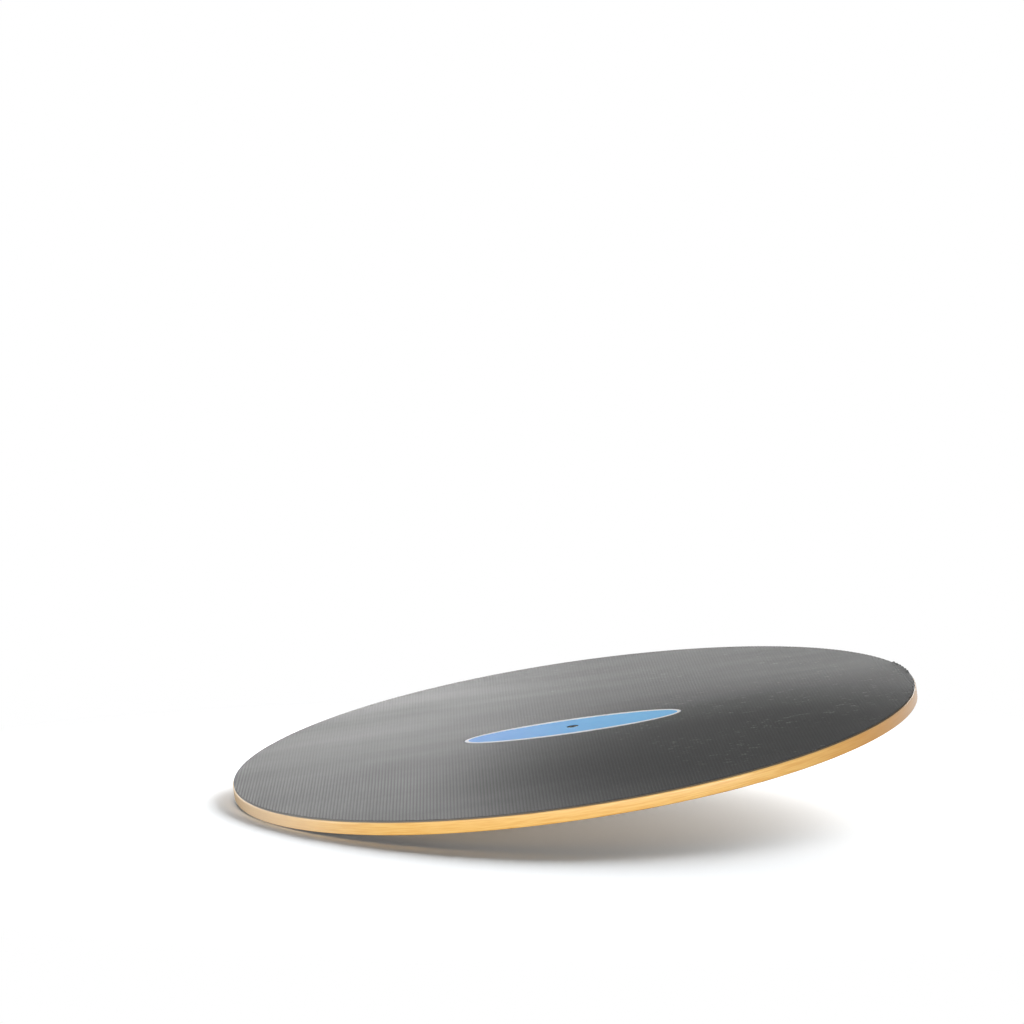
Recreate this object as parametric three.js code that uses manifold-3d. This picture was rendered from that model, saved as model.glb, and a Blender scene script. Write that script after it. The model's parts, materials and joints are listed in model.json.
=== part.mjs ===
// Dog wobble board: a round plywood deck under a ribbed rubber mat, carried by a half ball
// that screws up and down on a hub below the deck. Millimetres, +Z up.
// It rests as it does when nobody steadies it: tipped over, on the half ball and its low edge.
// The board is built level, with zero at the underside of the deck, and is then leaned over
// as one piece about its own Y axis, with the low edge towards -X.

import * as THREE from 'three';
import { mergeVertices, toCreasedNormals } from 'three/addons/utils/BufferGeometryUtils.js';
import Module from 'manifold-3d';

const wasm = await Module();
wasm.setup();

// Fits shared by all pieces
const seatGap = 0.3;
const holeClearance = 0.3;
const cutOverrun = 4;

// Plywood deck
const deckDiameter = 914.4;
const deckThickness = 15.9;
const deckEdgeRound = 1.6;

// Rubber mat on the deck
const matThickness = 2;
const matEdgeRound = 0.5;

// Oval label let into the mat
const labelLength = 293;
const labelWidth = 97;
const labelThickness = 0.6;
const labelSunk = 0.1;
const labelMargin = 0.5;
const labelHeading = THREE.MathUtils.degToRad(-30.8);

// Centre bolt and its washer in the well of the deck
const boltDiameter = 8;
const boltLength = 35;
const boltTipChamfer = 1;
const boltHeadDiameter = 14;
const boltHeadHeight = 4.4;
const boltHeadSunk = 0.8;
const boltHeadDomeRadius = 8;
const boltHeadFlatDiameter = 7.5;
const boltSocketWidth = 5;
const boltSocketDepth = 2.6;
const boltWellDiameter = 16.5;
const washerDiameter = 16;
const washerThickness = 1.6;

// Steel bush, back washer and lock nut inside the hub
const bushWall = 2;
const backWasherDiameter = 24;
const backWasherThickness = 2;
const nutWidth = 13;
const nutHexHeight = 5.2;
const nutBevelWidth = 12.6;
const nutHeight = 8;
const nutCollarDiameter = 12;
const insertDiameter = 10.6;
const insertHeight = 2.2;

// Hub plate: a screwed-on flange with a hollow threaded boss
const flangeMargin = 10;
const flangeThickness = 6;
const flangeEdgeRound = 2;
const padDiameter = 15;
const padHeight = 1;
const bossLength = 48;
const bossRootRadius = 32.5;
const bossWall = 6;
const bossFilletRadius = 3;

// Wood screws through the flange
const screwCount = 8;
const screwBallSpace = 10;
const screwDiameter = 4.4;
const screwLength = 17;
const screwTipLength = 4;
const screwHeadDiameter = 9.5;
const screwHeadHeight = 3;
const screwCrownWidth = 1.6;
const screwCrownHeight = 2;
const screwSlotLength = 5;
const screwSlotWidth = 1.2;
const screwSlotDepth = 1.6;

// Coarse right-hand thread between hub and half ball
const threadPitch = 6;
const threadDepth = 2.5;
const threadClearance = 0.5;
const toothCrestWidth = 1.9;
const toothBaseWidth = 3.6;
const toothEmbed = 1;
const toothFadeTurns = 0.125;
const hubThreadTurns = 3;
const hubThreadMargin = 5;
const ballThreadTurns = 3;
const ballThreadLeadTurns = 0.5;

// Half ball
const boardRise = 78;
const ballRadius = 70;
const ballWall = 6;
const sleeveWall = 5;
const sleeveSetback = 1.5;
const collarWall = 8;
const collarHeight = 12;
const ribCount = 8;
const ribThickness = 3;
const ribSetback = 6;
const studPadDiameter = 20;
const studPadHeight = 1.2;
const fluteCount = 12;
const fluteRadius = 9;
const fluteDepth = 2.8;

// Drag ring in the mouth of the half ball
const ringGrooveDepth = 3;
const ringGrooveDrop = 4;
const ringHeight = 3.6;
const ringBevel = 1;

// Rubber tread under the half ball, held by its own stud
const treadThickness = 2.4;
const treadProud = 0.6;
const treadSpread = THREE.MathUtils.degToRad(28);
const treadContactBand = THREE.MathUtils.degToRad(12);
const treadStudDiameter = 8;
const treadStudHeadDiameter = 14;
const treadStudHeadHeight = 3;

// Facets
const rimFacets = 96;
const ballFacets = 36;
const treadFacets = 96;
const threadFacets = 36;
const smallFacets = 12;
const ovalSteps = 48;
const domeSteps = 4;
const arcSteps = 1;
const creaseAngle = THREE.MathUtils.degToRad(28);

// Heights and radii that follow from the sizes above, with the board level
const deckRadius = deckDiameter / 2;
const deckFlatRadius = deckRadius - deckEdgeRound;
const matBottom = deckThickness + seatGap;
const matTop = matBottom + matThickness;
const labelTop = matTop - labelSunk;
const labelBottom = labelTop - labelThickness;
const boltRadius = boltDiameter / 2;
const boltHoleRadius = boltRadius + holeClearance;
const boltHeadTop = matTop - boltHeadSunk;
const boltHeadBottom = boltHeadTop - boltHeadHeight;
const washerTop = boltHeadBottom - seatGap;
const washerBottom = washerTop - washerThickness;
const wellFloor = washerBottom - seatGap;
const flangeTop = -seatGap;
const flangeBottom = flangeTop - flangeThickness;
const bushRadius = boltHoleRadius + bushWall;
const backWasherTop = flangeBottom - seatGap;
const backWasherBottom = backWasherTop - backWasherThickness;
const nutTop = backWasherBottom - seatGap;
const nutHexBottom = nutTop - nutHexHeight;
const nutBottom = nutTop - nutHeight;
const insertTop = nutBottom + insertHeight;
const bossBottom = flangeBottom - bossLength;
const bossCrestRadius = bossRootRadius + threadDepth;
const screwRadius = screwDiameter / 2;
const screwHoleRadius = screwRadius + holeClearance;
const screwCircleRadius = ballRadius + screwBallSpace;
const flangeRadius = screwCircleRadius + flangeMargin;
const screwSeat = flangeBottom - padHeight - seatGap;
const screwTip = screwSeat + screwLength;
const ballTop = flangeBottom - seatGap;
const treadRadius = ballRadius + treadProud;
const ballCentre = treadRadius - boardRise;
const ballInnerRadius = ballRadius - ballWall;
const ballFloor = ballCentre - ballInnerRadius;
const studPadTop = ballFloor + studPadHeight;
const ballBoreRadius = bossCrestRadius + threadClearance;
const sleeveTop = ballTop - sleeveSetback;
const ringTop = ballTop - ringGrooveDrop - seatGap;
const ringBottom = ringTop - ringHeight;
const ringGrooveRadius = ballBoreRadius + ringGrooveDepth;
const treadSeatRadius = treadRadius - treadThickness - seatGap;
const treadStudRadius = treadStudDiameter / 2;
const hubThreadTop = bossBottom + hubThreadMargin + hubThreadTurns * threadPitch;
const ballThreadTop = hubThreadTop + ballThreadLeadTurns * threadPitch;

// The board tips until a flat of the low rim and a flat of the tread both bear on the ground.
const rimReach = deckFlatRadius * Math.cos(Math.PI / rimFacets);
const ballReach = treadRadius * Math.cos(treadContactBand / 2);
const leanAngle = Math.asin(ballReach / Math.hypot(rimReach, ballCentre))
  - Math.atan2(ballCentre, rimReach);

// Finishes
const finishes = {
  honeyPlywood: { color: 0xe2a95c, roughness: 0.42, metalness: 0 },
  charcoalRubber: { color: 0x3c3d3f, roughness: 0.72, metalness: 0 },
  blueFilm: { color: 0x3d82d0, roughness: 0.38, metalness: 0 },
  darkSteel: { color: 0x35363a, roughness: 0.4, metalness: 0.9 },
  zincSteel: { color: 0xb9bcc0, roughness: 0.35, metalness: 1 },
  blueNylon: { color: 0x2f6fb5, roughness: 0.5, metalness: 0 },
  blackPlastic: { color: 0x1c1d1f, roughness: 0.55, metalness: 0 },
  blackRubber: { color: 0x161616, roughness: 0.85, metalness: 0 },
};

// A closed three.js geometry as a solid that can be joined and cut
function toSolid(geometry) {
  const bare = geometry.clone();
  bare.deleteAttribute('normal');
  bare.deleteAttribute('uv');
  const welded = mergeVertices(bare);
  const corners = welded.index.array;
  const triangles = [];
  for (let i = 0; i < corners.length; i += 3) {
    const [a, b, c] = corners.slice(i, i + 3);
    if (a !== b && b !== c && c !== a) triangles.push(a, b, c);
  }
  const vertProperties = Float32Array.from(welded.attributes.position.array);
  const triVerts = Uint32Array.from(triangles);
  return new wasm.Manifold(new wasm.Mesh({ numProp: 3, vertProperties, triVerts }));
}

// A solid as a three.js geometry with its hard edges kept hard
function toGeometry(solid) {
  const { vertProperties, triVerts } = solid.getMesh();
  const geometry = new THREE.BufferGeometry();
  geometry.setAttribute('position', new THREE.Float32BufferAttribute(vertProperties, 3));
  geometry.setIndex(Array.from(triVerts));
  return toCreasedNormals(geometry, creaseAngle);
}

const solidOf = (shape) => (shape.isBufferGeometry ? toSolid(shape) : shape);
const join = (...shapes) => shapes.map(solidOf).reduce((sum, next) => sum.add(next));
const common = (...shapes) => shapes.map(solidOf).reduce((rest, next) => rest.intersect(next));
const cut = (...shapes) => shapes.map(solidOf).reduce((rest, next) => rest.subtract(next));

// A body of revolution about Z, from an outline in radius and height that is drawn from the
// axis outwards and up. The flats of its facets face along X and Y.
function turned(outline, facets = smallFacets, steps = arcSteps) {
  const lathe = new THREE.LatheGeometry(outline.getPoints(steps), facets, Math.PI / facets);
  return lathe.rotateX(Math.PI / 2);
}

// A round bar along Z between two heights, with the flats of its facets facing along X and Y
function bar(radius, bottom, top, facets = smallFacets) {
  const height = top - bottom;
  const start = Math.PI / facets;
  const cylinder = new THREE.CylinderGeometry(radius, radius, height, facets, 1, false, start);
  return cylinder.rotateX(Math.PI / 2).translate(0, 0, (top + bottom) / 2);
}

// A hexagonal bar along Z, by its width across the flats
function hexBar(width, bottom, top) {
  return bar(width / 2 / Math.cos(Math.PI / 6), bottom, top, 6);
}

// A washer or bush along Z between two heights
function ring(outerRadius, innerRadius, bottom, top) {
  return cut(bar(outerRadius, bottom, top), bar(innerRadius, bottom - cutOverrun, top + cutOverrun));
}

// An upright oval column
function ovalBar(length, width, bottom, top) {
  const oval = new THREE.Shape().absellipse(0, 0, length / 2, width / 2, 0, 2 * Math.PI);
  const options = { depth: top - bottom, bevelEnabled: false, curveSegments: ovalSteps };
  return new THREE.ExtrudeGeometry(oval, options).translate(0, 0, bottom);
}

// The angle of one of several places set evenly round the Z axis
function angleOf(index, count) {
  return (2 * Math.PI * (index + 1 / 2)) / count;
}

// Copies of a geometry set evenly round the Z axis, as one solid
function around(geometry, count) {
  const copies = Array.from({ length: count }, (_, i) => geometry.clone().rotateZ(angleOf(i, count)));
  return join(...copies);
}

// The ridge of a right-hand thread, winding down from a height on the X axis. It stands out
// of a boss (outward 1) or into a bore (outward -1), rooted a little way into the wall that
// carries it, and it fades into that wall at both ends.
function threadRidge(wallRadius, outward, top, turns) {
  const flankSlope = (toothBaseWidth - toothCrestWidth) / 2 / threadDepth;
  const crest = toothCrestWidth / 2;
  const root = toothBaseWidth / 2 + flankSlope * toothEmbed;
  const section = new THREE.Shape()
    .moveTo(-toothEmbed, -root)
    .lineTo(threadDepth, -crest)
    .lineTo(threadDepth, crest)
    .lineTo(-toothEmbed, root);
  const options = { depth: turns, steps: turns * threadFacets, bevelEnabled: false };
  const ridge = new THREE.ExtrudeGeometry(section, options);
  const corners = ridge.attributes.position;
  const corner = new THREE.Vector3();
  for (let i = 0; i < corners.count; i += 1) {
    corner.fromBufferAttribute(corners, i);
    const turn = corner.z;
    const fade = Math.min(1, turn / toothFadeTurns, (turns - turn) / toothFadeTurns);
    const highest = THREE.MathUtils.lerp(-toothEmbed / 2, threadDepth, fade);
    const radius = wallRadius + outward * Math.min(corner.x, highest);
    const height = top - threadPitch * turn + outward * corner.y;
    const angle = Math.PI / threadFacets - 2 * Math.PI * turn;
    corners.setXYZ(i, radius * Math.cos(angle), radius * Math.sin(angle), height);
  }
  return ridge;
}

// Deck: a plywood disc with rounded edges, a well for the bolt head and blind screw holes
function makeDeck() {
  const outline = new THREE.Path()
    .moveTo(0, 0)
    .lineTo(deckFlatRadius, 0)
    .absarc(deckFlatRadius, deckEdgeRound, deckEdgeRound, -Math.PI / 2, 0)
    .lineTo(deckRadius, deckThickness - deckEdgeRound)
    .absarc(deckFlatRadius, deckThickness - deckEdgeRound, deckEdgeRound, 0, Math.PI / 2)
    .lineTo(0, deckThickness);
  const boltHole = bar(boltHoleRadius, -cutOverrun, deckThickness + cutOverrun);
  const well = bar(washerDiameter / 2 + holeClearance, wellFloor, deckThickness + cutOverrun);
  const screwHole = bar(screwHoleRadius, -cutOverrun, screwTip + holeClearance)
    .translate(screwCircleRadius, 0, 0);
  return cut(turned(outline, rimFacets), boltHole, well, around(screwHole, screwCount));
}

// Mat: a rubber sheet with a shallow oval pocket for the label and a hole over the bolt
function makeGripMat() {
  const outline = new THREE.Path()
    .moveTo(0, matBottom)
    .lineTo(deckFlatRadius, matBottom)
    .lineTo(deckFlatRadius, matTop - matEdgeRound)
    .lineTo(deckFlatRadius - matEdgeRound, matTop)
    .lineTo(0, matTop);
  const pocketLength = labelLength + 2 * labelMargin;
  const pocketWidth = labelWidth + 2 * labelMargin;
  const pocket = ovalBar(pocketLength, pocketWidth, labelBottom - seatGap, matTop + cutOverrun)
    .rotateZ(labelHeading);
  const well = bar(boltWellDiameter / 2, matBottom - cutOverrun, matTop + cutOverrun);
  return cut(turned(outline, rimFacets), pocket, well);
}

// Label: a blank oval of film with a hole over the bolt
function makeLabel() {
  const well = bar(boltWellDiameter / 2, labelBottom - cutOverrun, labelTop + cutOverrun);
  return cut(ovalBar(labelLength, labelWidth, labelBottom, labelTop), well);
}

// Centre bolt: a domed head with a hexagon socket, and a plain shank
function makeCentreBolt() {
  const tip = boltHeadBottom - boltLength;
  const headRadius = boltHeadDiameter / 2;
  const flatRadius = boltHeadFlatDiameter / 2;
  const edgeAngle = Math.acos(headRadius / boltHeadDomeRadius);
  const flatAngle = Math.acos(flatRadius / boltHeadDomeRadius);
  const domeCentre = boltHeadTop - boltHeadDomeRadius * Math.sin(flatAngle);
  const outline = new THREE.Path()
    .moveTo(0, tip)
    .lineTo(boltRadius - boltTipChamfer, tip)
    .lineTo(boltRadius, tip + boltTipChamfer)
    .lineTo(boltRadius, boltHeadBottom)
    .lineTo(headRadius, boltHeadBottom)
    .absarc(0, domeCentre, boltHeadDomeRadius, edgeAngle, flatAngle)
    .lineTo(0, boltHeadTop);
  const socket = hexBar(boltSocketWidth, boltHeadTop - boltSocketDepth, boltHeadTop + cutOverrun);
  return cut(turned(outline), socket);
}

// Hub plate: a flange against the deck, with screw pads, and a hollow boss with the thread
function makeHubPlate() {
  const flangeFlatRadius = flangeRadius - flangeEdgeRound;
  const bossBoreRadius = bossRootRadius - bossWall;
  const filletCentre = flangeBottom - bossFilletRadius;
  const neckRadius = bossRootRadius + bossFilletRadius;
  const outline = new THREE.Path()
    .moveTo(0, flangeBottom)
    .lineTo(bossBoreRadius, flangeBottom)
    .lineTo(bossBoreRadius, bossBottom)
    .lineTo(bossRootRadius, bossBottom)
    .lineTo(bossRootRadius, filletCentre)
    .absarc(neckRadius, filletCentre, bossFilletRadius, Math.PI, Math.PI / 2, true)
    .lineTo(flangeFlatRadius, flangeBottom)
    .absarc(flangeFlatRadius, flangeBottom + flangeEdgeRound, flangeEdgeRound, -Math.PI / 2, 0)
    .lineTo(flangeRadius, flangeTop)
    .lineTo(0, flangeTop);
  const pad = bar(padDiameter / 2, flangeBottom - padHeight, flangeTop)
    .translate(screwCircleRadius, 0, 0);
  const screwHole = bar(screwHoleRadius, flangeBottom - cutOverrun, flangeTop + cutOverrun)
    .translate(screwCircleRadius, 0, 0);
  const bushHole = bar(bushRadius + holeClearance, flangeBottom - cutOverrun, flangeTop + cutOverrun);
  const ridge = threadRidge(bossRootRadius, 1, hubThreadTop, hubThreadTurns);
  const body = join(turned(outline, threadFacets), around(pad, screwCount), ridge);
  return cut(body, around(screwHole, screwCount), bushHole);
}

// Lock nut: a hexagon with bevelled corners, and a collar that holds the insert
function makeLockNut() {
  const bevelRadius = nutBevelWidth / 2;
  const cone = new THREE.CylinderGeometry(bevelRadius, bevelRadius + nutHexHeight, nutHexHeight);
  const bevel = cone.rotateX(Math.PI / 2).translate(0, 0, (nutTop + nutHexBottom) / 2);
  const body = join(
    common(hexBar(nutWidth, nutHexBottom, nutTop), bevel),
    bar(nutCollarDiameter / 2, nutBottom, nutHexBottom + holeClearance),
  );
  const bore = bar(boltHoleRadius, nutBottom - cutOverrun, nutTop + cutOverrun);
  const pocketRadius = insertDiameter / 2 + holeClearance;
  const pocket = bar(pocketRadius, nutBottom - cutOverrun, insertTop + seatGap);
  return cut(body, bore, pocket);
}

// Wood screw, driven upwards: a pan head with a cross slot, a shank and a point
function makeHubScrew() {
  const headRadius = screwHeadDiameter / 2;
  const headBottom = screwSeat - screwHeadHeight;
  const crownStart = headRadius - screwCrownWidth;
  const crownTop = headBottom + screwCrownHeight;
  const outline = new THREE.Path()
    .moveTo(0, headBottom)
    .lineTo(crownStart, headBottom)
    .absellipse(crownStart, crownTop, screwCrownWidth, screwCrownHeight, -Math.PI / 2, 0)
    .lineTo(headRadius, screwSeat)
    .lineTo(screwRadius, screwSeat)
    .lineTo(screwRadius, screwTip - screwTipLength)
    .lineTo(0, screwTip);
  const slot = new THREE.BoxGeometry(screwSlotLength, screwSlotWidth, 2 * screwSlotDepth)
    .translate(0, 0, headBottom);
  return cut(turned(outline), slot, slot.clone().rotateZ(Math.PI / 2));
}

// A solid dome about the ball's centre, cut off level at a height
function dome(radius, top) {
  const topAngle = Math.asin((top - ballCentre) / radius);
  const outline = new THREE.Path()
    .moveTo(0, ballCentre - radius)
    .absarc(0, ballCentre, radius, -Math.PI / 2, topAngle)
    .lineTo(0, top);
  return turned(outline, ballFacets, domeSteps);
}

// Points of an arc about the ball's centre, at angles from straight down
function capPoints(radius, angles) {
  return angles.map((angle) => new THREE.Vector2(
    radius * Math.sin(angle),
    ballCentre - radius * Math.cos(angle),
  ));
}

// Half ball: a hollow dome with finger flutes, a threaded sleeve and the ribs between them
function makeHalfBall() {
  const shell = cut(dome(ballRadius, ballTop), dome(ballInnerRadius, ballTop + cutOverrun));
  const sleeve = bar(ballBoreRadius + sleeveWall, ballFloor, sleeveTop, threadFacets);
  const collar = bar(ballBoreRadius + collarWall, sleeveTop - collarHeight, sleeveTop, threadFacets);
  const ribTop = sleeveTop - ribSetback;
  const ribLength = ballRadius - ballBoreRadius;
  const rib = new THREE.BoxGeometry(ribLength, ribThickness, ribTop - ballFloor)
    .translate(ballBoreRadius + ribLength / 2, 0, (ribTop + ballFloor) / 2);
  const middleOfWall = dome(ballRadius - ballWall / 2, ballTop);
  const inside = common(join(sleeve, collar, around(rib, ribCount)), middleOfWall);

  const overTop = ballTop + cutOverrun;
  const bore = common(
    bar(ballBoreRadius, ballFloor - cutOverrun, overTop, threadFacets),
    dome(ballInnerRadius, overTop),
  );
  const groove = bar(ringGrooveRadius, ringBottom - seatGap, ringTop + seatGap, threadFacets);
  const rimRadius = Math.sqrt(ballRadius ** 2 - (ballTop - ballCentre) ** 2);
  const flute = bar(fluteRadius, ballFloor, overTop)
    .translate(rimRadius - fluteDepth + fluteRadius, 0, 0);

  const seatAngle = treadSpread + holeClearance / ballRadius;
  const seatOutline = new THREE.Path([
    ...capPoints(ballRadius + cutOverrun, [0, seatAngle]),
    ...capPoints(treadSeatRadius, [seatAngle, treadSpread * 2 / 3, treadSpread / 3, 0]),
  ]);
  const studPad = bar(studPadDiameter / 2, ballCentre - treadSeatRadius, studPadTop);
  const studHole = bar(
    treadStudRadius + holeClearance,
    ballCentre - ballRadius,
    studPadTop + cutOverrun,
  );
  const ridge = threadRidge(ballBoreRadius, -1, ballThreadTop, ballThreadTurns);
  const hollowed = cut(join(shell, inside), bore, groove, around(flute, fluteCount));
  return cut(join(hollowed, studPad, ridge), turned(seatOutline, ballFacets), studHole);
}

// Tread: a rubber cap flush with the ball, with a stud whose head sits inside the ball
function makeBallTread() {
  const contactStart = leanAngle - treadContactBand / 2;
  const contactEnd = leanAngle + treadContactBand / 2;
  const edgeStart = treadSpread - treadProud / treadRadius;
  const innerRadius = treadRadius - treadThickness;
  const cap = turned(new THREE.Path([
    ...capPoints(treadRadius, [0, contactStart, contactEnd, (contactEnd + edgeStart) / 2, edgeStart]),
    ...capPoints(ballRadius, [treadSpread]),
    ...capPoints(innerRadius, [treadSpread, treadSpread * 2 / 3, treadSpread / 3, 0]),
  ]), treadFacets);
  const headRadius = treadStudHeadDiameter / 2;
  const headSeat = studPadTop + seatGap;
  const headTop = headSeat + treadStudHeadHeight;
  const stud = turned(new THREE.Path()
    .moveTo(0, ballCentre - innerRadius - treadThickness / 2)
    .lineTo(treadStudRadius, ballCentre - innerRadius - treadThickness / 2)
    .lineTo(treadStudRadius, headSeat)
    .lineTo(headRadius, headSeat)
    .lineTo(treadStudRadius, headTop)
    .lineTo(0, headTop));
  return join(cap, stud);
}

// Drag ring: a rubber ring with bevelled edges in the groove of the half ball
function makeDragRing() {
  const inner = bossRootRadius + seatGap;
  const outer = ringGrooveRadius - seatGap;
  const outline = new THREE.Path()
    .moveTo(inner + ringBevel, ringBottom)
    .lineTo(outer - ringBevel, ringBottom)
    .lineTo(outer, ringBottom + ringBevel)
    .lineTo(outer, ringTop - ringBevel)
    .lineTo(outer - ringBevel, ringTop)
    .lineTo(inner + ringBevel, ringTop)
    .lineTo(inner, ringTop - ringBevel)
    .lineTo(inner, ringBottom + ringBevel)
    .lineTo(inner + ringBevel, ringBottom);
  return turned(outline, threadFacets);
}

// A named mesh of one piece
function piece(name, shape, finish) {
  const material = new THREE.MeshStandardMaterial(finishes[finish]);
  const mesh = new THREE.Mesh(toGeometry(solidOf(shape)), material);
  mesh.name = name;
  return mesh;
}

// All that stays with the deck when the half ball is screwed up or down
function makeDeckAssembly() {
  const assembly = new THREE.Group();
  const label = piece('label', makeLabel(), 'blueFilm');
  label.rotation.z = labelHeading;
  assembly.add(
    piece('deck', makeDeck(), 'honeyPlywood'),
    piece('grip_mat', makeGripMat(), 'charcoalRubber'),
    label,
    piece('centre_bolt', makeCentreBolt(), 'darkSteel'),
    piece('centre_washer', ring(washerDiameter / 2, boltHoleRadius, washerBottom, washerTop), 'zincSteel'),
    piece('hub_plate', makeHubPlate(), 'blackPlastic'),
    piece('bolt_bush', ring(bushRadius, boltHoleRadius, flangeBottom, flangeTop), 'zincSteel'),
    piece(
      'back_washer',
      ring(backWasherDiameter / 2, boltHoleRadius, backWasherBottom, backWasherTop),
      'zincSteel',
    ),
    piece('lock_nut', makeLockNut(), 'zincSteel'),
    piece('lock_nut_insert', ring(insertDiameter / 2, boltHoleRadius, nutBottom, insertTop), 'blueNylon'),
  );
  for (let i = 0; i < screwCount; i += 1) {
    const screw = piece(`hub_screw_${i + 1}`, makeHubScrew(), 'zincSteel');
    const angle = angleOf(i, screwCount);
    screw.position.set(screwCircleRadius * Math.cos(angle), screwCircleRadius * Math.sin(angle), 0);
    screw.rotation.z = angle;
    assembly.add(screw);
  }
  return assembly;
}

// The half ball with its tread and its drag ring
function makeBallAssembly() {
  const assembly = new THREE.Group();
  assembly.add(
    piece('half_ball', makeHalfBall(), 'blackPlastic'),
    piece('ball_tread', makeBallTread(), 'blackRubber'),
    piece('drag_ring', makeDragRing(), 'blackRubber'),
  );
  return assembly;
}

const leaning = new THREE.Group();
leaning.add(makeDeckAssembly(), makeBallAssembly());
leaning.rotation.y = -leanAngle;

// The board stands on the ground plane, centred over the origin
const board = new THREE.Group();
board.add(leaning);
board.updateMatrixWorld(true);
const reach = new THREE.Box3().setFromObject(board, true);
const middle = reach.getCenter(new THREE.Vector3());
leaning.position.set(-middle.x, -middle.y, -reach.min.z);

export default board;
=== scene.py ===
"""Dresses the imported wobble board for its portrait.

The board is a round plywood deck under a ribbed rubber mat, and it stands on a half ball that
screws up and down on a hub below it. Each piece is drawn with the board level, zero at the
underside of the deck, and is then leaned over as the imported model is. Metres throughout.
"""

import json
import logging
import math
from dataclasses import dataclass
from enum import Enum
from functools import cache
from typing import Callable, Optional, Sequence, Union

import bmesh
import bpy
from mathutils import Matrix, Vector


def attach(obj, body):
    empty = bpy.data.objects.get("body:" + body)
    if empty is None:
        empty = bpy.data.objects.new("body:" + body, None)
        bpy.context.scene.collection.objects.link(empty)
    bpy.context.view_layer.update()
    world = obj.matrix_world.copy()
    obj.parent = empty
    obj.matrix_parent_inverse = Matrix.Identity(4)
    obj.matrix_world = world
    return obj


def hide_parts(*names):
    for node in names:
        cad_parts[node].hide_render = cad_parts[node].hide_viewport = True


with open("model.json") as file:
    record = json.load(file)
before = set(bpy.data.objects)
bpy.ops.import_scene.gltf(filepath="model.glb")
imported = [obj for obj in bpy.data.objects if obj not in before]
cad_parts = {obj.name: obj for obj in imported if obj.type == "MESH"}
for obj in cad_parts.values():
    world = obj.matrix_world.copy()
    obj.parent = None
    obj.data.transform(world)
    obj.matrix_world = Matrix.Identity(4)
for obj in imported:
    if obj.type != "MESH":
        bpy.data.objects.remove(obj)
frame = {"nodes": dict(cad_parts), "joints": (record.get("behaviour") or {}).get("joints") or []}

log = logging.getLogger("wobble_board")

Colour = tuple[float, float, float, float]
Outline = list[tuple[float, float]]
Term = Union["Wire", float, int]

MM = 0.001
FULL_TURN = 2 * math.pi
HAIR = 1e-6  # a length that counts as none
CREASE = 32.0  # the angle in degrees above which an edge stays sharp

# Sizes that several pieces share.
LABEL_HEADING = math.radians(-30.8)
DECK_THICKNESS = 15.9 * MM
MAT_TOP = 18.2 * MM
LABEL_WELL = 8.25 * MM
BALL_MIDDLE = -7.4 * MM
BALL_RADIUS = 70.0 * MM


class Body(Enum):
    """The moving bodies of the board."""

    BALL = "ball"
    RING = "ring"
    DECK = "deck"


class Slot(Enum):
    """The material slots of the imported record."""

    PLYWOOD = "plywood"
    MAT_RUBBER = "mat_rubber"
    LABEL_FILM = "label_film"
    DARK_STEEL = "dark_steel"
    ZINC_STEEL = "zinc_steel"
    BLACK_PLASTIC = "black_plastic"
    TREAD_RUBBER = "tread_rubber"
    NYLON = "nylon"


def shade(red: int, green: int, blue: int) -> Colour:
    """Turns a colour as a screen shows it into the light values that shaders use.

    Args:
        red: Its red, from 0 to 255.
        green: Its green.
        blue: Its blue.

    Returns:
        The colour, with no part of it see-through.
    """

    def light(level: int) -> float:
        """Returns the light value of one channel."""
        share = level / 255
        return share / 12.92 if share <= 0.04045 else ((share + 0.055) / 1.055) ** 2.4

    return (light(red), light(green), light(blue), 1.0)


def linked(name: str, data: bpy.types.ID) -> bpy.types.Object:
    """Puts a new object into the scene.

    Args:
        name: Its name.
        data: Its mesh, light or camera.

    Returns:
        The object.
    """
    item = bpy.data.objects.new(name, data)
    bpy.context.scene.collection.objects.link(item)
    return item


def evaluated_mesh(item: bpy.types.Object) -> bpy.types.Mesh:
    """Makes a plain mesh of what an object's modifiers make.

    Args:
        item: The object.

    Returns:
        The new mesh.
    """
    bpy.context.view_layer.update()
    graph = bpy.context.evaluated_depsgraph_get()
    return bpy.data.meshes.new_from_object(item.evaluated_get(graph), depsgraph=graph)


def empty_tree(owner: Union[bpy.types.Material, bpy.types.World]) -> bpy.types.NodeTree:
    """Gives a new material or world a node tree with nothing in it.

    Args:
        owner: The material or world.

    Returns:
        The tree.
    """
    owner.use_nodes = True
    owner.node_tree.nodes.clear()
    return owner.node_tree


@dataclass(frozen=True)
class Lean:
    """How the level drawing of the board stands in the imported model."""

    origin: Vector
    angle: float

    @classmethod
    def of_joints(cls, joints: Sequence[dict]) -> "Lean":
        """Reads the lean off the screw joint, whose axis is the deck's own.

        Args:
            joints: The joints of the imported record.

        Returns:
            The lean of the board.
        """
        screw = next(joint for joint in joints if joint["name"] == "screw_turn")
        axis = Vector(screw["axis"])
        return cls(Vector(screw["pos_m"]), math.atan2(-axis.x, axis.z))

    def matrix(self) -> Matrix:
        """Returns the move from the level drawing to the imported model."""
        return Matrix.Translation(self.origin) @ Matrix.Rotation(-self.angle, 4, "Y")


LEAN = Lean.of_joints(frame["joints"])


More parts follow.
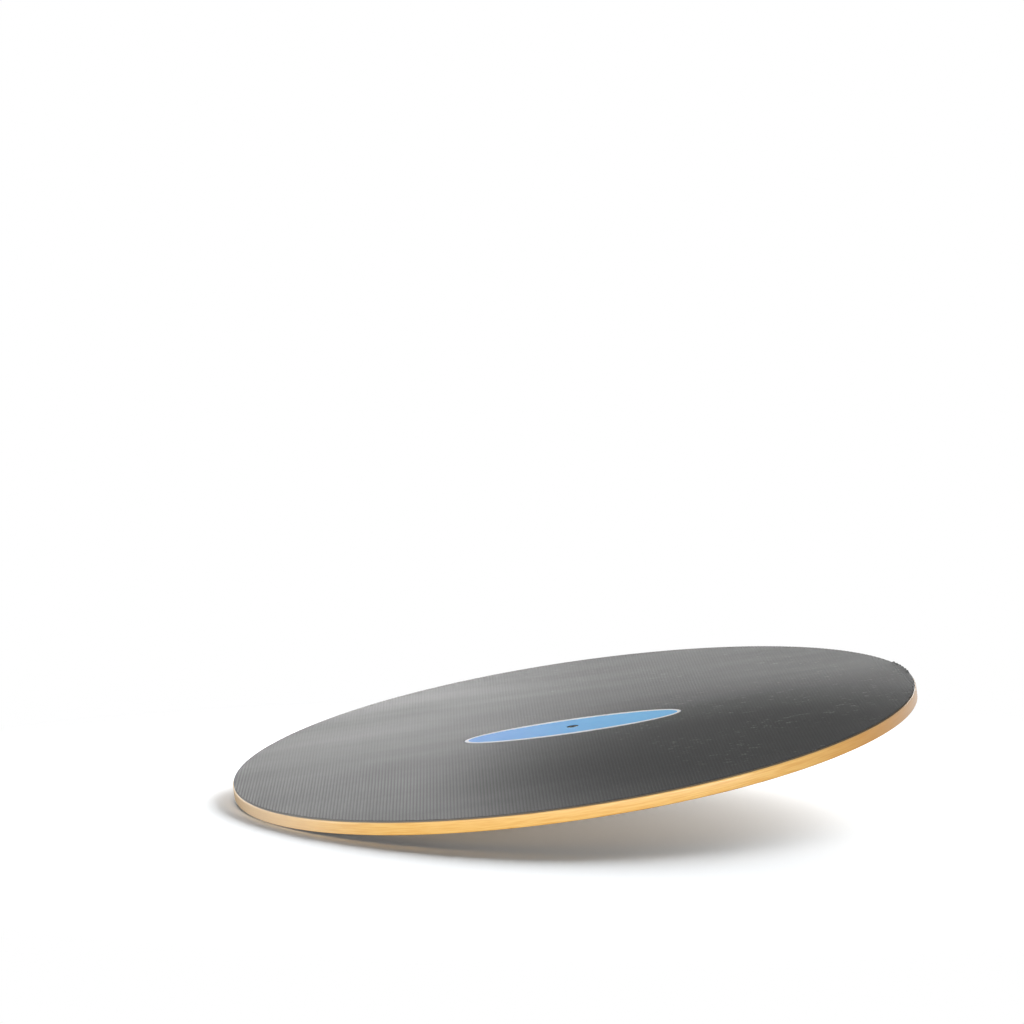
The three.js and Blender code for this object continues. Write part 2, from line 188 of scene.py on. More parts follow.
class Wire:
    """A value that runs through a node tree. Arithmetic on it adds Math nodes."""

    def __init__(self, sheet: "NodeSheet", socket: bpy.types.NodeSocket) -> None:
        """Keeps the socket that the value comes out of."""
        self.sheet = sheet
        self.socket = socket

    def maths(self, operation: str, *terms: Term) -> "Wire":
        """Adds a Math node.

        Args:
            operation: The Math node's operation.
            terms: Its inputs in order, wires or numbers.

        Returns:
            The node's value.
        """
        sockets = dict(enumerate(terms))
        return self.sheet.node("ShaderNodeMath", {"operation": operation}, sockets)

    def __add__(self, other: Term) -> "Wire":
        """Returns the sum."""
        return self.maths("ADD", self, other)

    def __radd__(self, other: Term) -> "Wire":
        """Returns the sum, with the wire on the right."""
        return self.maths("ADD", other, self)

    def __sub__(self, other: Term) -> "Wire":
        """Returns the difference."""
        return self.maths("SUBTRACT", self, other)

    def __rsub__(self, other: Term) -> "Wire":
        """Returns the difference, with the wire on the right."""
        return self.maths("SUBTRACT", other, self)

    def __mul__(self, other: Term) -> "Wire":
        """Returns the product."""
        return self.maths("MULTIPLY", self, other)

    def __rmul__(self, other: Term) -> "Wire":
        """Returns the product, with the wire on the right."""
        return self.maths("MULTIPLY", other, self)

    def __truediv__(self, other: Term) -> "Wire":
        """Returns the quotient."""
        return self.maths("DIVIDE", self, other)

    def __rtruediv__(self, other: Term) -> "Wire":
        """Returns the quotient, with the wire on the right."""
        return self.maths("DIVIDE", other, self)

    def __pow__(self, other: Term) -> "Wire":
        """Returns the power."""
        return self.maths("POWER", self, other)

    def __abs__(self) -> "Wire":
        """Returns the value without its sign."""
        return self.maths("ABSOLUTE", self)

    def at_least(self, other: Term) -> "Wire":
        """Returns the larger of the two."""
        return self.maths("MAXIMUM", self, other)

    def whole(self) -> "Wire":
        """Returns the next whole number below."""
        return self.maths("FLOOR", self)

    def fraction(self) -> "Wire":
        """Returns what is left above the next whole number below."""
        return self.maths("FRACT", self)

    def root(self) -> "Wire":
        """Returns the square root."""
        return self.maths("SQRT", self)

    def sine(self) -> "Wire":
        """Returns the sine of an angle in radians."""
        return self.maths("SINE", self)

    def cosine(self) -> "Wire":
        """Returns the cosine of an angle in radians."""
        return self.maths("COSINE", self)

    def bearing(self, across: Term) -> "Wire":
        """Returns the angle at which a point stands that is this far away and so far across."""
        return self.maths("ARCTAN2", self, across)

    def step(self, low: float, high: float) -> "Wire":
        """Rises smoothly from 0 to 1 between two values.

        Args:
            low: The value at which it is 0.
            high: The value at which it is 1. It may be the smaller one.

        Returns:
            The smooth step.
        """
        settings = {"interpolation_type": "SMOOTHSTEP", "clamp": True}
        if low <= high:
            return self.sheet.node("ShaderNodeMapRange", settings, {0: self, 1: low, 2: high})
        return 1 - self.step(high, low)

    def parts(self) -> tuple["Wire", "Wire", "Wire"]:
        """Returns a vector's three parts."""
        node = self.sheet.add("ShaderNodeSeparateXYZ", {}, {0: self})
        return tuple(Wire(self.sheet, output) for output in node.outputs)


class NodeSheet:
    """A node tree that is written from Python."""

    def __init__(self, tree: bpy.types.NodeTree) -> None:
        """Takes an empty or a new tree."""
        self.tree = tree

    def add(self, kind: str, settings: dict, sockets: dict) -> bpy.types.Node:
        """Adds a node of any type.

        Args:
            kind: The node's type.
            settings: Its properties, which are set first.
            sockets: Numbers, colours or wires by the name or place of the input.

        Returns:
            The node.
        """
        node = self.tree.nodes.new(kind)
        for name, value in settings.items():
            setattr(node, name, value)
        for key, value in sockets.items():
            if isinstance(value, Wire):
                self.tree.links.new(value.socket, node.inputs[key])
            else:
                node.inputs[key].default_value = value
        return node

    def node(
        self, kind: str, settings: dict, sockets: dict, output: Union[int, str] = 0
    ) -> Wire:
        """Adds a node of any type and gives one of its outputs.

        Args:
            kind: The node's type.
            settings: Its properties.
            sockets: Its inputs.
            output: The name or place of the output.

        Returns:
            The output as a wire.
        """
        return Wire(self, self.add(kind, settings, sockets).outputs[output])


@dataclass(frozen=True)
class Pattern:
    """A soft random pattern.

    Its blotches have a size in metres, finer layers (detail) and some distortion (waver). The
    pattern is turned about the board's axis, in radians, and then scaled. Where it is used in
    patches, they come up between the two values of the cut.
    """

    size: float
    detail: float = 2.0
    waver: float = 0.0
    scale: tuple[float, float, float] = (1.0, 1.0, 1.0)
    turn: float = 0.0
    cut: tuple[float, float] = (0.0, 1.0)


@dataclass(frozen=True)
class Slope:
    """A share that grows along a direction on the level board.

    It is 0 at the low place along that direction and 1 at the high one, in metres.
    """

    across: float
    away: float
    low: float
    high: float


class SurfaceSheet(NodeSheet):
    """The node tree of one material."""

    def __init__(self, name: str) -> None:
        """Starts a material of this name."""
        self.material = bpy.data.materials.new(name)
        super().__init__(empty_tree(self.material))

    def level(self) -> Wire:
        """Finds the place on the board as if it were level.

        Returns:
            Its coordinates in metres, with the underside of the deck at height zero.
        """
        place = self.node("ShaderNodeTexCoord", {}, {}, "Object")
        shift = -(Matrix.Rotation(LEAN.angle, 3, "Y") @ LEAN.origin)
        sockets = {"Vector": place, "Location": shift, "Rotation": (0, LEAN.angle, 0)}
        return self.node("ShaderNodeMapping", {"vector_type": "POINT"}, sockets)

    def noise(self, place: Wire, pattern: Pattern) -> Wire:
        """Adds a soft random pattern.

        Args:
            place: The place on the level board.
            pattern: How it looks.

        Returns:
            The pattern, from 0 to 1 and mostly near a half.
        """
        if pattern.scale != Pattern.scale or pattern.turn:
            sockets = {"Vector": place, "Rotation": (0, 0, pattern.turn)}
            turned = self.node("ShaderNodeMapping", {}, sockets)
            place = self.node("ShaderNodeMapping", {}, {"Vector": turned, "Scale": pattern.scale})
        sockets = {
            "Vector": place,
            "Scale": 1 / pattern.size,
            "Detail": pattern.detail,
            "Distortion": pattern.waver,
        }
        return self.node("ShaderNodeTexNoise", {}, sockets)

    def patches(self, place: Wire, pattern: Pattern) -> Wire:
        """Returns 0 where a random pattern is below its cut and 1 where it is above."""
        return self.noise(place, pattern).step(*pattern.cut)

    def slope(self, place: Wire, slope: Slope) -> Wire:
        """Returns how far up a slope a place is."""
        across, away, _ = place.parts()
        return (across * slope.across + away * slope.away).step(slope.low, slope.high)

    def mix(self, share: Term, first: Union[Wire, Colour], second: Union[Wire, Colour]) -> Wire:
        """Mixes two colours.

        Args:
            share: The share of the second colour.
            first: The first colour.
            second: The second colour.

        Returns:
            The mixed colour.
        """
        settings = {"data_type": "RGBA", "clamp_factor": True}
        return self.node("ShaderNodeMix", settings, {0: share, 6: first, 7: second}, 2)

    def bump(self, height: Wire, depth: float) -> Wire:
        """Returns the normal of relief from 0 to 1 that is so many metres deep."""
        return self.node("ShaderNodeBump", {}, {"Height": height, "Distance": depth})

    def finish(self, **sockets: Union[Wire, Colour, float]) -> bpy.types.Material:
        """Ends the material in one shader.

        Args:
            sockets: The shader's inputs, with underscores for the spaces in their names.

        Returns:
            The material.
        """
        named = {key.replace("_", " "): value for key, value in sockets.items()}
        shader = self.node("ShaderNodeBsdfPrincipled", {}, named)
        self.add("ShaderNodeOutputMaterial", {}, {"Surface": shader})
        return self.material


@dataclass(frozen=True)
class VeneerFinish:
    """The flat faces of the plywood: pale birch veneer with long cathedral grain."""

    pale: Colour = shade(236, 205, 158)
    warm: Colour = shade(216, 172, 116)
    pore: Colour = shade(150, 104, 62)
    figure: Pattern = Pattern(0.055, 3.0, 0.6, (1.0, 0.11, 1.0), 0.35)
    figure_bands: float = 46.0
    pores: Pattern = Pattern(0.0011, scale=(1.0, 0.0385, 1.0), turn=0.35, cut=(0.60, 0.72))
    cloud: Pattern = Pattern(0.16)
    depth: float = 0.00012
    roughness: float = 0.36

    @cache
    def material(self) -> bpy.types.Material:
        """Makes the material, once for all the pieces that have it.

        Returns:
            The material.
        """
        sheet = SurfaceSheet("veneer")
        place = sheet.level()
        bands = ((sheet.noise(place, self.figure) * self.figure_bands).sine() * 0.5 + 0.5) ** 2
        specks, cloud = sheet.patches(place, self.pores), sheet.noise(place, self.cloud)
        base = sheet.mix(bands * 0.45 + cloud * 0.35, self.pale, self.warm)
        return sheet.finish(
            Base_Color=sheet.mix(specks * 0.4, base, self.pore),
            Roughness=self.roughness + cloud * 0.12 + specks * 0.15,
            Normal=sheet.bump(1 - specks * 0.7 - bands * 0.2, self.depth),
            Coat_Weight=0.25,
            Coat_Roughness=0.22,
        )


@dataclass(frozen=True)
class EdgeFinish:
    """The lacquered edge of the plywood: honey wood whose plies hardly show."""

    honey: Colour = shade(244, 199, 120)
    amber: Colour = shade(230, 175, 93)
    # colour of the glue seams, also used as painted shade along the bottom of the edge
    seam_and_shade: Colour = shade(176, 120, 62)
    # painted highlight: pale wood at the left end of the edge
    painted_left_highlight: Colour = shade(240, 214, 182)
    russet: Colour = shade(214, 148, 56)
    # painted highlight along the top arris
    painted_arris_highlight: Colour = shade(250, 226, 180)
    # where the painted highlight at the left end lies, then where the russet patch lies
    painted_highlight_place: tuple[Slope, Slope] = (Slope(1, 0, -0.36, -0.455), Slope(0, 1, -0.30, 0.05))
    russet_place: tuple[Slope, Slope] = (Slope(1, 0, 0.02, 0.22), Slope(0, 1, -0.15, -0.30))
    thickness: float = DECK_THICKNESS
    plies: int = 11
    ply_waver: float = 0.3
    seam_share: float = 0.22
    flare: float = 1.6 * MM
    streaks: Pattern = Pattern(0.034, 3.0, scale=(1.0, 1.0, 26.0), cut=(0.35, 0.68))
    fibres: Pattern = Pattern(0.0032, scale=(1.0, 1.0, 9.0))
    waver: Pattern = Pattern(0.06, 1.0)
    depth: float = 0.00009
    roughness: float = 0.30

    @cache
    def material(self) -> bpy.types.Material:
        """Makes the material, once for all the pieces that have it.

        Returns:
            The material.
        """
        sheet = SurfaceSheet("lacquered_edge")
        place = sheet.level()
        across, away, height = place.parts()
        streaks, fibres = sheet.noise(place, self.streaks), sheet.noise(place, self.fibres)
        waver = sheet.noise(place, self.waver) * self.ply_waver
        ply = height / (self.thickness / self.plies) + waver
        glue = abs(ply.fraction() - 0.5).step(0.5 - self.seam_share / 2, 0.5)
        quarter = math.pi / 2
        crosswise = (ply.whole() * quarter).sine() ** 2
        end_grain = (away.bearing(across) + crosswise * quarter).sine() ** 2
        # painted highlight at the left end of the edge
        pale = sheet.slope(place, self.painted_highlight_place[0]) * sheet.slope(place, self.painted_highlight_place[1])
        red = sheet.slope(place, self.russet_place[0]) * sheet.slope(place, self.russet_place[1])
        # painted shade: the bottom of the edge darker; the same mask also makes it rougher as wear
        worn = height.step(self.flare * 0.9, self.flare * 0.1)
        # painted highlight along the top arris
        crest = height.step(self.thickness - self.flare * 0.8, self.thickness - self.flare * 0.2)
        colour = sheet.mix(streaks.step(*self.streaks.cut), self.honey, self.amber)
        layers = (
            # pale is painted highlight, worn is painted shade, crest is painted highlight
            (end_grain, 0.22, self.amber), (glue, 0.20, self.seam_and_shade), (pale, 0.8, self.painted_left_highlight),
            (red, 0.75, self.russet), (worn, 0.45, self.seam_and_shade), (crest, 0.15, self.painted_arris_highlight),
        )
        for mask, share, tone in layers:
            colour = sheet.mix(mask * share, colour, tone)
        return sheet.finish(
            Base_Color=colour,
            Roughness=self.roughness + fibres * 0.12 + worn * 0.08,
            Normal=sheet.bump(fibres * 0.6 + streaks * 0.4 - glue * 0.15, self.depth),
            Coat_Weight=0.45,
            Coat_Roughness=0.2,
            Specular_IOR_Level=0.35,
        )


@dataclass(frozen=True)
class MatFinish:
    """The mat's rubber: charcoal with patchy dust, painted sheen toward its far and left sides and
    painted shade in a patch, scuffed where paws have been.
    """

    rubber: Colour = shade(49, 49, 49)
    # painted shade: darker rubber for the patch in front of the middle
    shaded_rubber: Colour = shade(26, 26, 25)
    # painted shade in the grooves between the ribs
    groove: Colour = shade(20, 20, 21)
    # grey of the dust, also used as painted sheen toward the far and left sides
    dust_and_sheen_grey: Colour = shade(142, 142, 140)
    scuff: Colour = shade(186, 184, 180)
    cut_edge: Colour = shade(100, 90, 76)
    # left and far: slopes of the painted sheen, which lightens the rubber toward those sides
    left: Slope = Slope(-0.87, 0.5, -0.05, 0.45)
    far: Slope = Slope(0.60, 0.80, -0.20, 0.42)
    # where the painted rib shading is strong: darker grooves and lighter crests
    rib_shade_near_left: Slope = Slope(-0.8, -0.6, 0.05, 0.34)
    right_half: Slope = Slope(1, 0, -0.12, 0.14)
    # middle and radii of the patch of painted shade
    shaded_spot_middle: tuple[float, float] = (0.05, -0.30)
    shaded_spot_radii: tuple[float, float] = (0.42, 0.10)
    crest_heights: tuple[float, float] = (17.93 * MM, 18.16 * MM)
    side_heights: tuple[float, float] = (17.75 * MM, 17.6 * MM)
    side_radii: tuple[float, float] = (0.4545, 0.4549)
    broad: Pattern = Pattern(0.32)
    wiped: Pattern = Pattern(0.05, scale=(0.16, 1.0, 1.0), turn=-LABEL_HEADING)
    grain: Pattern = Pattern(0.0009, cut=(0.45, 0.75))
    strokes: Pattern = Pattern(
        0.0060, scale=(0.35, 1.0, 1.0), turn=-LABEL_HEADING, cut=(0.62, 0.69)
    )
    trodden: Pattern = Pattern(0.11, 1.0, 0.4, cut=(0.46, 0.58))
    dots: Pattern = Pattern(0.0062, 1.0, cut=(0.66, 0.72))
    prints: Pattern = Pattern(0.045, 0.0, cut=(0.60, 0.70))
    depth: float = 0.00012
    roughness: float = 0.60

    def scuffs(self, sheet: SurfaceSheet, place: Wire) -> Wire:
        """Draws the strokes and dots that paws leave, most of them on the right half.

        Args:
            sheet: The material in the making.
            place: The place on the level board.

        Returns:
            The share of scuffed rubber.
        """
        right_half = sheet.slope(place, self.right_half)
        strokes = sheet.patches(place, self.strokes) * sheet.patches(place, self.trodden)
        dots = sheet.patches(place, self.dots) * sheet.patches(place, self.prints)
        return (strokes + dots) * (0.15 + right_half * 0.85)

    @cache
    def material(self) -> bpy.types.Material:
        """Makes the material, once for all the pieces that have it.

        Returns:
            The material.
        """
        sheet = SurfaceSheet("ribbed_rubber")
        place = sheet.level()
        across, away, height = place.parts()
        left, far = sheet.slope(place, self.left), sheet.slope(place, self.far)
        rib_shade_near_left = sheet.slope(place, self.rib_shade_near_left)
        aside, ahead = across - self.shaded_spot_middle[0], away - self.shaded_spot_middle[1]
        shaded_spot = (aside * aside + ahead * ahead).root().step(*self.shaded_spot_radii)
        crest = height.step(*self.crest_heights)
        broad, wiped = sheet.noise(place, self.broad), sheet.noise(place, self.wiped)
        grain = sheet.noise(place, self.grain)
        uneven = 0.68 + (broad * 0.5 + wiped * 0.5).step(0.30, 0.70) * 0.64
        # patchy dust plus painted sheen that grows toward the left and far sides and fades in the
        # shaded spot
        dust_and_sheen = (left * 0.40 + far * 0.31) * uneven * (1 - shaded_spot * 0.85)
        # painted rib shading: crests lighter and grooves darker, strong only near the left
        painted_rib_shading = 0.78 + (crest - 0.45) * (0.02 + rib_shade_near_left * 0.46)
        scuffs = self.scuffs(sheet, place) * (0.4 + crest * 0.6)
        side = height.step(*self.side_heights)
        side = side * (across * across + away * away).root().step(*self.side_radii)
        # painted shade: the patch in front of the middle is darker rubber
        colour = sheet.mix(shaded_spot * 0.9, self.rubber, self.shaded_rubber)
        layers = (
            # dust with painted sheen, lighter on crests than in grooves
            (dust_and_sheen * painted_rib_shading, self.dust_and_sheen_grey),
            # painted shade in the grooves, near the left
            ((1 - crest) * (rib_shade_near_left * 0.85), self.groove),
            (grain.step(*self.grain.cut) * 0.10, self.dust_and_sheen_grey),
            (scuffs * 0.20, self.scuff),
            # the cut side of the mat, made paler toward the left by the painted sheen
            (side * 0.9, sheet.mix(left * 0.8, self.cut_edge, self.dust_and_sheen_grey)),
        )
        for share, tone in layers:
            colour = sheet.mix(share, colour, tone)
        return sheet.finish(
            Base_Color=colour,
            Roughness=self.roughness + shaded_spot * 0.24 + grain * 0.08 - wiped * 0.08,
            Normal=sheet.bump(grain, self.depth),
            Specular_IOR_Level=0.17,
        )


@dataclass(frozen=True)
class FilmFinish:
    """Printed film: one ink under a satin film, a little uneven and scratched."""

    name: str
    ink: Colour
    tint: Colour
    wash: Slope = Slope(math.cos(LABEL_HEADING), math.sin(LABEL_HEADING), 0.10, -0.16)
    patch: Pattern = Pattern(0.02)
    scratch: Pattern = Pattern(0.0016, 1.0, 0.0, (0.08, 1.0, 1.0), 0.2, (0.62, 0.70))
    grain: Pattern = Pattern(0.0012, 1.0)
    depth: float = 0.00003
    roughness: float = 0.54

    @cache
    def material(self) -> bpy.types.Material:
        """Makes the material, once for all the pieces that have it.

        Returns:
            The material.
        """
        sheet = SurfaceSheet(self.name)
        place = sheet.level()
        wash = sheet.slope(place, self.wash)
        patch, grain = sheet.noise(place, self.patch), sheet.noise(place, self.grain)
        scratch = sheet.noise(place, self.scratch)
        return sheet.finish(
            Base_Color=sheet.mix(wash * 0.7 + patch * 0.2, self.ink, self.tint),
            Roughness=self.roughness + patch * 0.10 + scratch.step(*self.scratch.cut) * 0.15,
            Normal=sheet.bump(grain * 0.5 + scratch * 0.5, self.depth),
            Specular_IOR_Level=0.15,
        )


@dataclass(frozen=True)
class SteelFinish:
    """Plated or blackened steel with fine turning marks."""

    name: str
    tone: Colour
    stain: Colour
    roughness: float
    cloud: Pattern = Pattern(0.004, 3.0, cut=(0.35, 0.75))
    grain: Pattern = Pattern(0.0004)
    spots: Pattern = Pattern(0.0016, cut=(0.58, 0.75))
    depth: float = 0.00002

    @cache
    def material(self) -> bpy.types.Material:
        """Makes the material, once for all the pieces that have it.

        Returns:
            The material.
        """
        sheet = SurfaceSheet(self.name)
        place = sheet.level()
        cloud, grain = sheet.noise(place, self.cloud), sheet.noise(place, self.grain)
        spots = sheet.patches(place, self.spots)
        stained = cloud.step(*self.cloud.cut) * 0.5 + spots * 0.3
        return sheet.finish(
            Base_Color=sheet.mix(stained, self.tone, self.stain),
            Roughness=self.roughness + cloud * 0.16 + spots * 0.12,
            Metallic=1.0,
            Normal=sheet.bump(grain * 0.6 + cloud * 0.4, self.depth),
        )


@dataclass(frozen=True)
class MouldedFinish:
    """Moulded plastic or rubber: fine spark-eroded grain, scuffed on what it rolls on."""

    name: str
    tone: Colour
    worn: Colour
    roughness: float
    grain: Pattern = Pattern(0.0007)
    depth: float = 0.00006
    wear: float = 0.5
    cloud: Pattern = Pattern(0.03, 3.0, cut=(0.42, 0.62))
    strokes: Pattern = Pattern(0.0013, 1.0, 0.0, (0.2, 1.0, 1.0), 0.5, (0.64, 0.74))

    @cache
    def material(self) -> bpy.types.Material:
        """Makes the material, once for all the pieces that have it.

        Returns:
            The material.
        """
        sheet = SurfaceSheet(self.name)
        place = sheet.level()
        grain, cloud = sheet.noise(place, self.grain), sheet.noise(place, self.cloud)
        rubbed = sheet.patches(place, self.strokes) * cloud.step(*self.cloud.cut)
        return sheet.finish(
            Base_Color=sheet.mix(cloud * 0.30 + rubbed * self.wear, self.tone, self.worn),
            Roughness=self.roughness + cloud * 0.12 - rubbed * 0.05,
            Normal=sheet.bump(grain, self.depth),
        )


HUB_PLASTIC = MouldedFinish("moulded_plastic", shade(34, 35, 37), shade(70, 70, 72), 0.42)
SOLE_RUBBER = MouldedFinish(
    "tread_rubber", shade(28, 28, 28), shade(92, 90, 86), 0.68,
    Pattern(0.0011), depth=0.00012, wear=0.35,
)
NUT_NYLON = MouldedFinish(
    "blue_nylon", shade(52, 112, 182), shade(90, 140, 196), 0.40, Pattern(0.0005), depth=0.00003
)
ZINC_STEEL = SteelFinish("zinc_steel", shade(178, 180, 184), shade(134, 134, 132), 0.34)
DARK_STEEL = SteelFinish("dark_steel", shade(30, 33, 42), shade(20, 21, 25), 0.38)
LABEL_FILMS = (
    FilmFinish("film_dark", shade(46, 52, 66), shade(60, 66, 84)),
    FilmFinish("film_white", shade(244, 248, 252), shade(232, 238, 248)),
    FilmFinish("film_blue", shade(94, 198, 255), shade(92, 150, 230)),
)


def arc(
    middle: tuple[float, float], radius: float, start: float, end: float, steps: int
) -> Outline:
    """Draws an arc of an outline.

    Args:
        middle: Its centre, as radius and height.
        radius: Its radius.
        start: The angle of its first point in degrees, from outwards towards up.
        end: The angle of its last point.
        steps: The number of its straight pieces.

    Returns:
        The points of the arc.
    """
    angles = (math.radians(start + (end - start) * i / steps) for i in range(steps + 1))
    return [(middle[0] + radius * math.cos(a), middle[1] + radius * math.sin(a)) for a in angles]


def on_ball(radius: float, degrees: float) -> tuple[float, float]:
    """Returns a point on a sphere about the ball's middle, by its angle from straight down."""
    angle = math.radians(degrees)
    return (radius * math.sin(angle), BALL_MIDDLE - radius * math.cos(angle))


class Drawing:
    """A mesh in the making, drawn with the board level."""

    def __init__(self) -> None:
        """Starts with nothing."""
        self.points: list[tuple[float, float, float]] = []
        self.faces: list[tuple[int, ...]] = []
        self.skins: list[int] = []

    def face(self, corners: Sequence[int], skin: int = 0) -> None:
        """Adds one face by its corners, seen from outside against the clock.

        Args:
            corners: The numbers of its points. One that is given twice running counts once.
            skin: Its finish.
        """
        distinct = [c for i, c in enumerate(corners) if c != corners[i - 1]]
        if len(distinct) > 2:
            self.faces.append(tuple(distinct))
            self.skins.append(skin)

    def loop(self, points: Sequence[tuple[float, float, float]]) -> list[int]:
        """Adds points.

        Args:
            points: The points.

        Returns:
            Their numbers.
        """
        first = len(self.points)
        self.points.extend(points)
        return list(range(first, len(self.points)))

    def oval(
        self, long: float, short: float, height: float, steps: int, heading: float = 0.0
    ) -> list[int]:
        """Adds a closed oval loop about the axis.

        Args:
            long: Half its length.
            short: Half its width.
            height: Its height.
            steps: The number of its points.
            heading: The angle of its length from across.

        Returns:
            The numbers of its points.
        """
        across, along = math.cos(heading), math.sin(heading)
        points = []
        for i in range(steps):
            turn = FULL_TURN * i / steps - heading
            x, y = long * math.cos(turn), short * math.sin(turn)
            points.append((x * across - y * along, x * along + y * across, height))
        return self.loop(points)

    def bridge(self, lower: Sequence[int], upper: Sequence[int], skin: int = 0) -> None:
        """Joins two closed loops of as many points, or of one point, by a band of faces.

        Args:
            lower: The points of the lower loop, against the clock seen from above.
            upper: Those of the upper loop.
            skin: The finish of the band.
        """
        count = max(len(lower), len(upper))
        for i in range(count):
            j = (i + 1) % count
            low = (lower[i % len(lower)], lower[j % len(lower)])
            high = (upper[j % len(upper)], upper[i % len(upper)])
            self.face((*low, *high), skin)

    def turned(
        self,
        outline: Outline,
        segments: int,
        closed: bool = False,
        skin: Callable[[float, float], int] = lambda radius, height: 0,
        shape: Callable[[float, float, float], float] = lambda radius, height, turn: radius,
    ) -> "Drawing":
        """Adds a body of revolution.

        Args:
            outline: Radius and height of its points, from the axis outwards and up, or round
                the section against the clock.
            segments: The number of faces round it.
            closed: Whether the last point joins the first.
            skin: The finish of a band, by the radius and height of its middle.
            shape: The radius of a point, by its radius on the outline, height and angle.

        Returns:
            The drawing itself.
        """
        rings = []
        for radius, height in outline:
            count = segments if radius > HAIR else 1
            turns = [FULL_TURN * i / count for i in range(count)]
            radii = [shape(radius, height, turn) for turn in turns]
            points = [(r * math.cos(t), r * math.sin(t), height) for r, t in zip(radii, turns)]
            rings.append(self.loop(points))
        pairs = list(zip(range(len(outline)), range(1, len(outline))))
        if closed:
            pairs.append((len(outline) - 1, 0))
        for low, high in pairs:
            radius = (outline[low][0] + outline[high][0]) / 2
            height = (outline[low][1] + outline[high][1]) / 2
            self.bridge(rings[low], rings[high], skin(radius, height))
        return self

    def extruded(self, section: Sequence[Vector], offset: Vector, skin: int = 0) -> None:
        """Adds a plate.

        Args:
            section: The corners of its near face, against the clock seen from that side.
            offset: The way from the near face to the far one.
            skin: Its finish.
        """
        near = self.loop([tuple(p) for p in section])
        far = self.loop([tuple(p + offset) for p in section])
        self.face(near, skin)
        self.face(far[::-1], skin)
        self.bridge(far, near, skin)

    def mesh(
        self, name: str, crease: float = CREASE, matrix: Optional[Matrix] = None
    ) -> bpy.types.Mesh:
        """Makes the mesh.

        Args:
            name: Its name.
            crease: The angle in degrees above which an edge stays sharp.
            matrix: A move that is built into it.

        Returns:
            The mesh.
        """
        mesh = bpy.data.meshes.new(name)
        mesh.from_pydata(self.points, [], self.faces)
        mesh.polygons.foreach_set("material_index", self.skins)
        if matrix is not None:
            mesh.transform(matrix)
        mesh.polygons.foreach_set("use_smooth", [True] * len(mesh.polygons))
        mesh.set_sharp_from_angle(angle=math.radians(crease))
        mesh.update()
        return mesh


class GeometrySheet(NodeSheet):
    """A Geometry Nodes tree with named inputs."""

    def __init__(self, name: str, inputs: dict[str, float]) -> None:
        """Starts a tree.

        Args:
            name: The tree's name.
            inputs: Its sizes by name. Whole numbers make integer inputs.
        """
        tree = bpy.data.node_groups.new(name, "GeometryNodeTree")
        tree.interface.new_socket("Geometry", in_out="INPUT", socket_type="NodeSocketGeometry")
        for key, value in inputs.items():
            kind = "NodeSocketInt" if isinstance(value, int) else "NodeSocketFloat"
            tree.interface.new_socket(key, in_out="INPUT", socket_type=kind)
        material = "NodeSocketMaterial"
        tree.interface.new_socket("Material", in_out="INPUT", socket_type=material)
        tree.interface.new_socket("Geometry", in_out="OUTPUT", socket_type="NodeSocketGeometry")
        super().__init__(tree)
        self.given = self.add("NodeGroupInput", {}, {})

    def size(self, name: str) -> Wire:
        """Returns one of the named inputs."""
        return Wire(self, self.given.outputs[name])

    def vector(self, x: Term = 0.0, y: Term = 0.0, z: Term = 0.0) -> Wire:
        """Returns a vector of three values."""
        return self.node("ShaderNodeCombineXYZ", {}, {0: x, 1: y, 2: z})

    def close(self, geometry: Wire) -> None:
        """Ends the tree in Realize Instances and Set Material.

        Args:
            geometry: What it makes.
        """
        real = self.node("GeometryNodeRealizeInstances", {}, {"Geometry": geometry})
        sockets = {"Geometry": real, "Material": self.size("Material")}
        dressed = self.node("GeometryNodeSetMaterial", {}, sockets)
        self.add("NodeGroupOutput", {}, {0: dressed})

    def grown(
        self, seed: bpy.types.Mesh, sizes: dict[str, float], material: bpy.types.Material
    ) -> bpy.types.Mesh:
        """Runs the tree on a mesh and returns the plain mesh that it makes.

        Args:
            seed: The mesh that the tree starts from.
            sizes: The values of its named inputs.
            material: The finish of what it makes.

        Returns:
            The new mesh.
        """
        carrier = linked("carrier", seed)
        modifier = carrier.modifiers.new("nodes", "NODES")
        modifier.node_group = self.tree
        sockets = {item.name: item.identifier for item in self.tree.interface.items_tree}
        for name, value in {**sizes, "Material": material}.items():
            modifier[sockets[name]] = value
        mesh = evaluated_mesh(carrier)
        carrier.modifiers.remove(modifier)
        bpy.data.objects.remove(carrier)
        return mesh


def ring_of_copies(
    unit: bpy.types.Mesh, count: int, radius: float, material: bpy.types.Material
) -> bpy.types.Mesh:
    """Sets copies of a mesh evenly round the board's axis, each turned to face outwards.

    Args:
        unit: The mesh, drawn about the axis.
        count: The number of copies.
        radius: How far from the axis they stand.
        material: Their finish.

    Returns:
        One mesh with all copies. The first copy stands half a step round from across.
    """
    sizes = {"Count": count, "Radius": radius, "First Angle": math.pi / count}
    sheet = GeometrySheet("ring_of_copies", sizes)
    share = sheet.node("GeometryNodeInputIndex", {}, {}) / sheet.size("Count")
    angle = share * FULL_TURN + sheet.size("First Angle")
    reach = sheet.size("Radius")
    sockets = {"Count": sheet.size("Count")}
    row = sheet.node("GeometryNodeMeshLine", {"mode": "OFFSET"}, sockets)
    place = sheet.vector(angle.cosine() * reach, angle.sine() * reach)
    row = sheet.node("GeometryNodeSetPosition", {}, {"Geometry": row, "Position": place})
    turn = sheet.node("FunctionNodeEulerToRotation", {}, {0: sheet.vector(z=angle)})
    sockets = {"Points": row, "Instance": sheet.size("Geometry"), "Rotation": turn}
    sheet.close(sheet.node("GeometryNodeInstanceOnPoints", {}, sockets))
    return sheet.grown(unit, sizes, material)


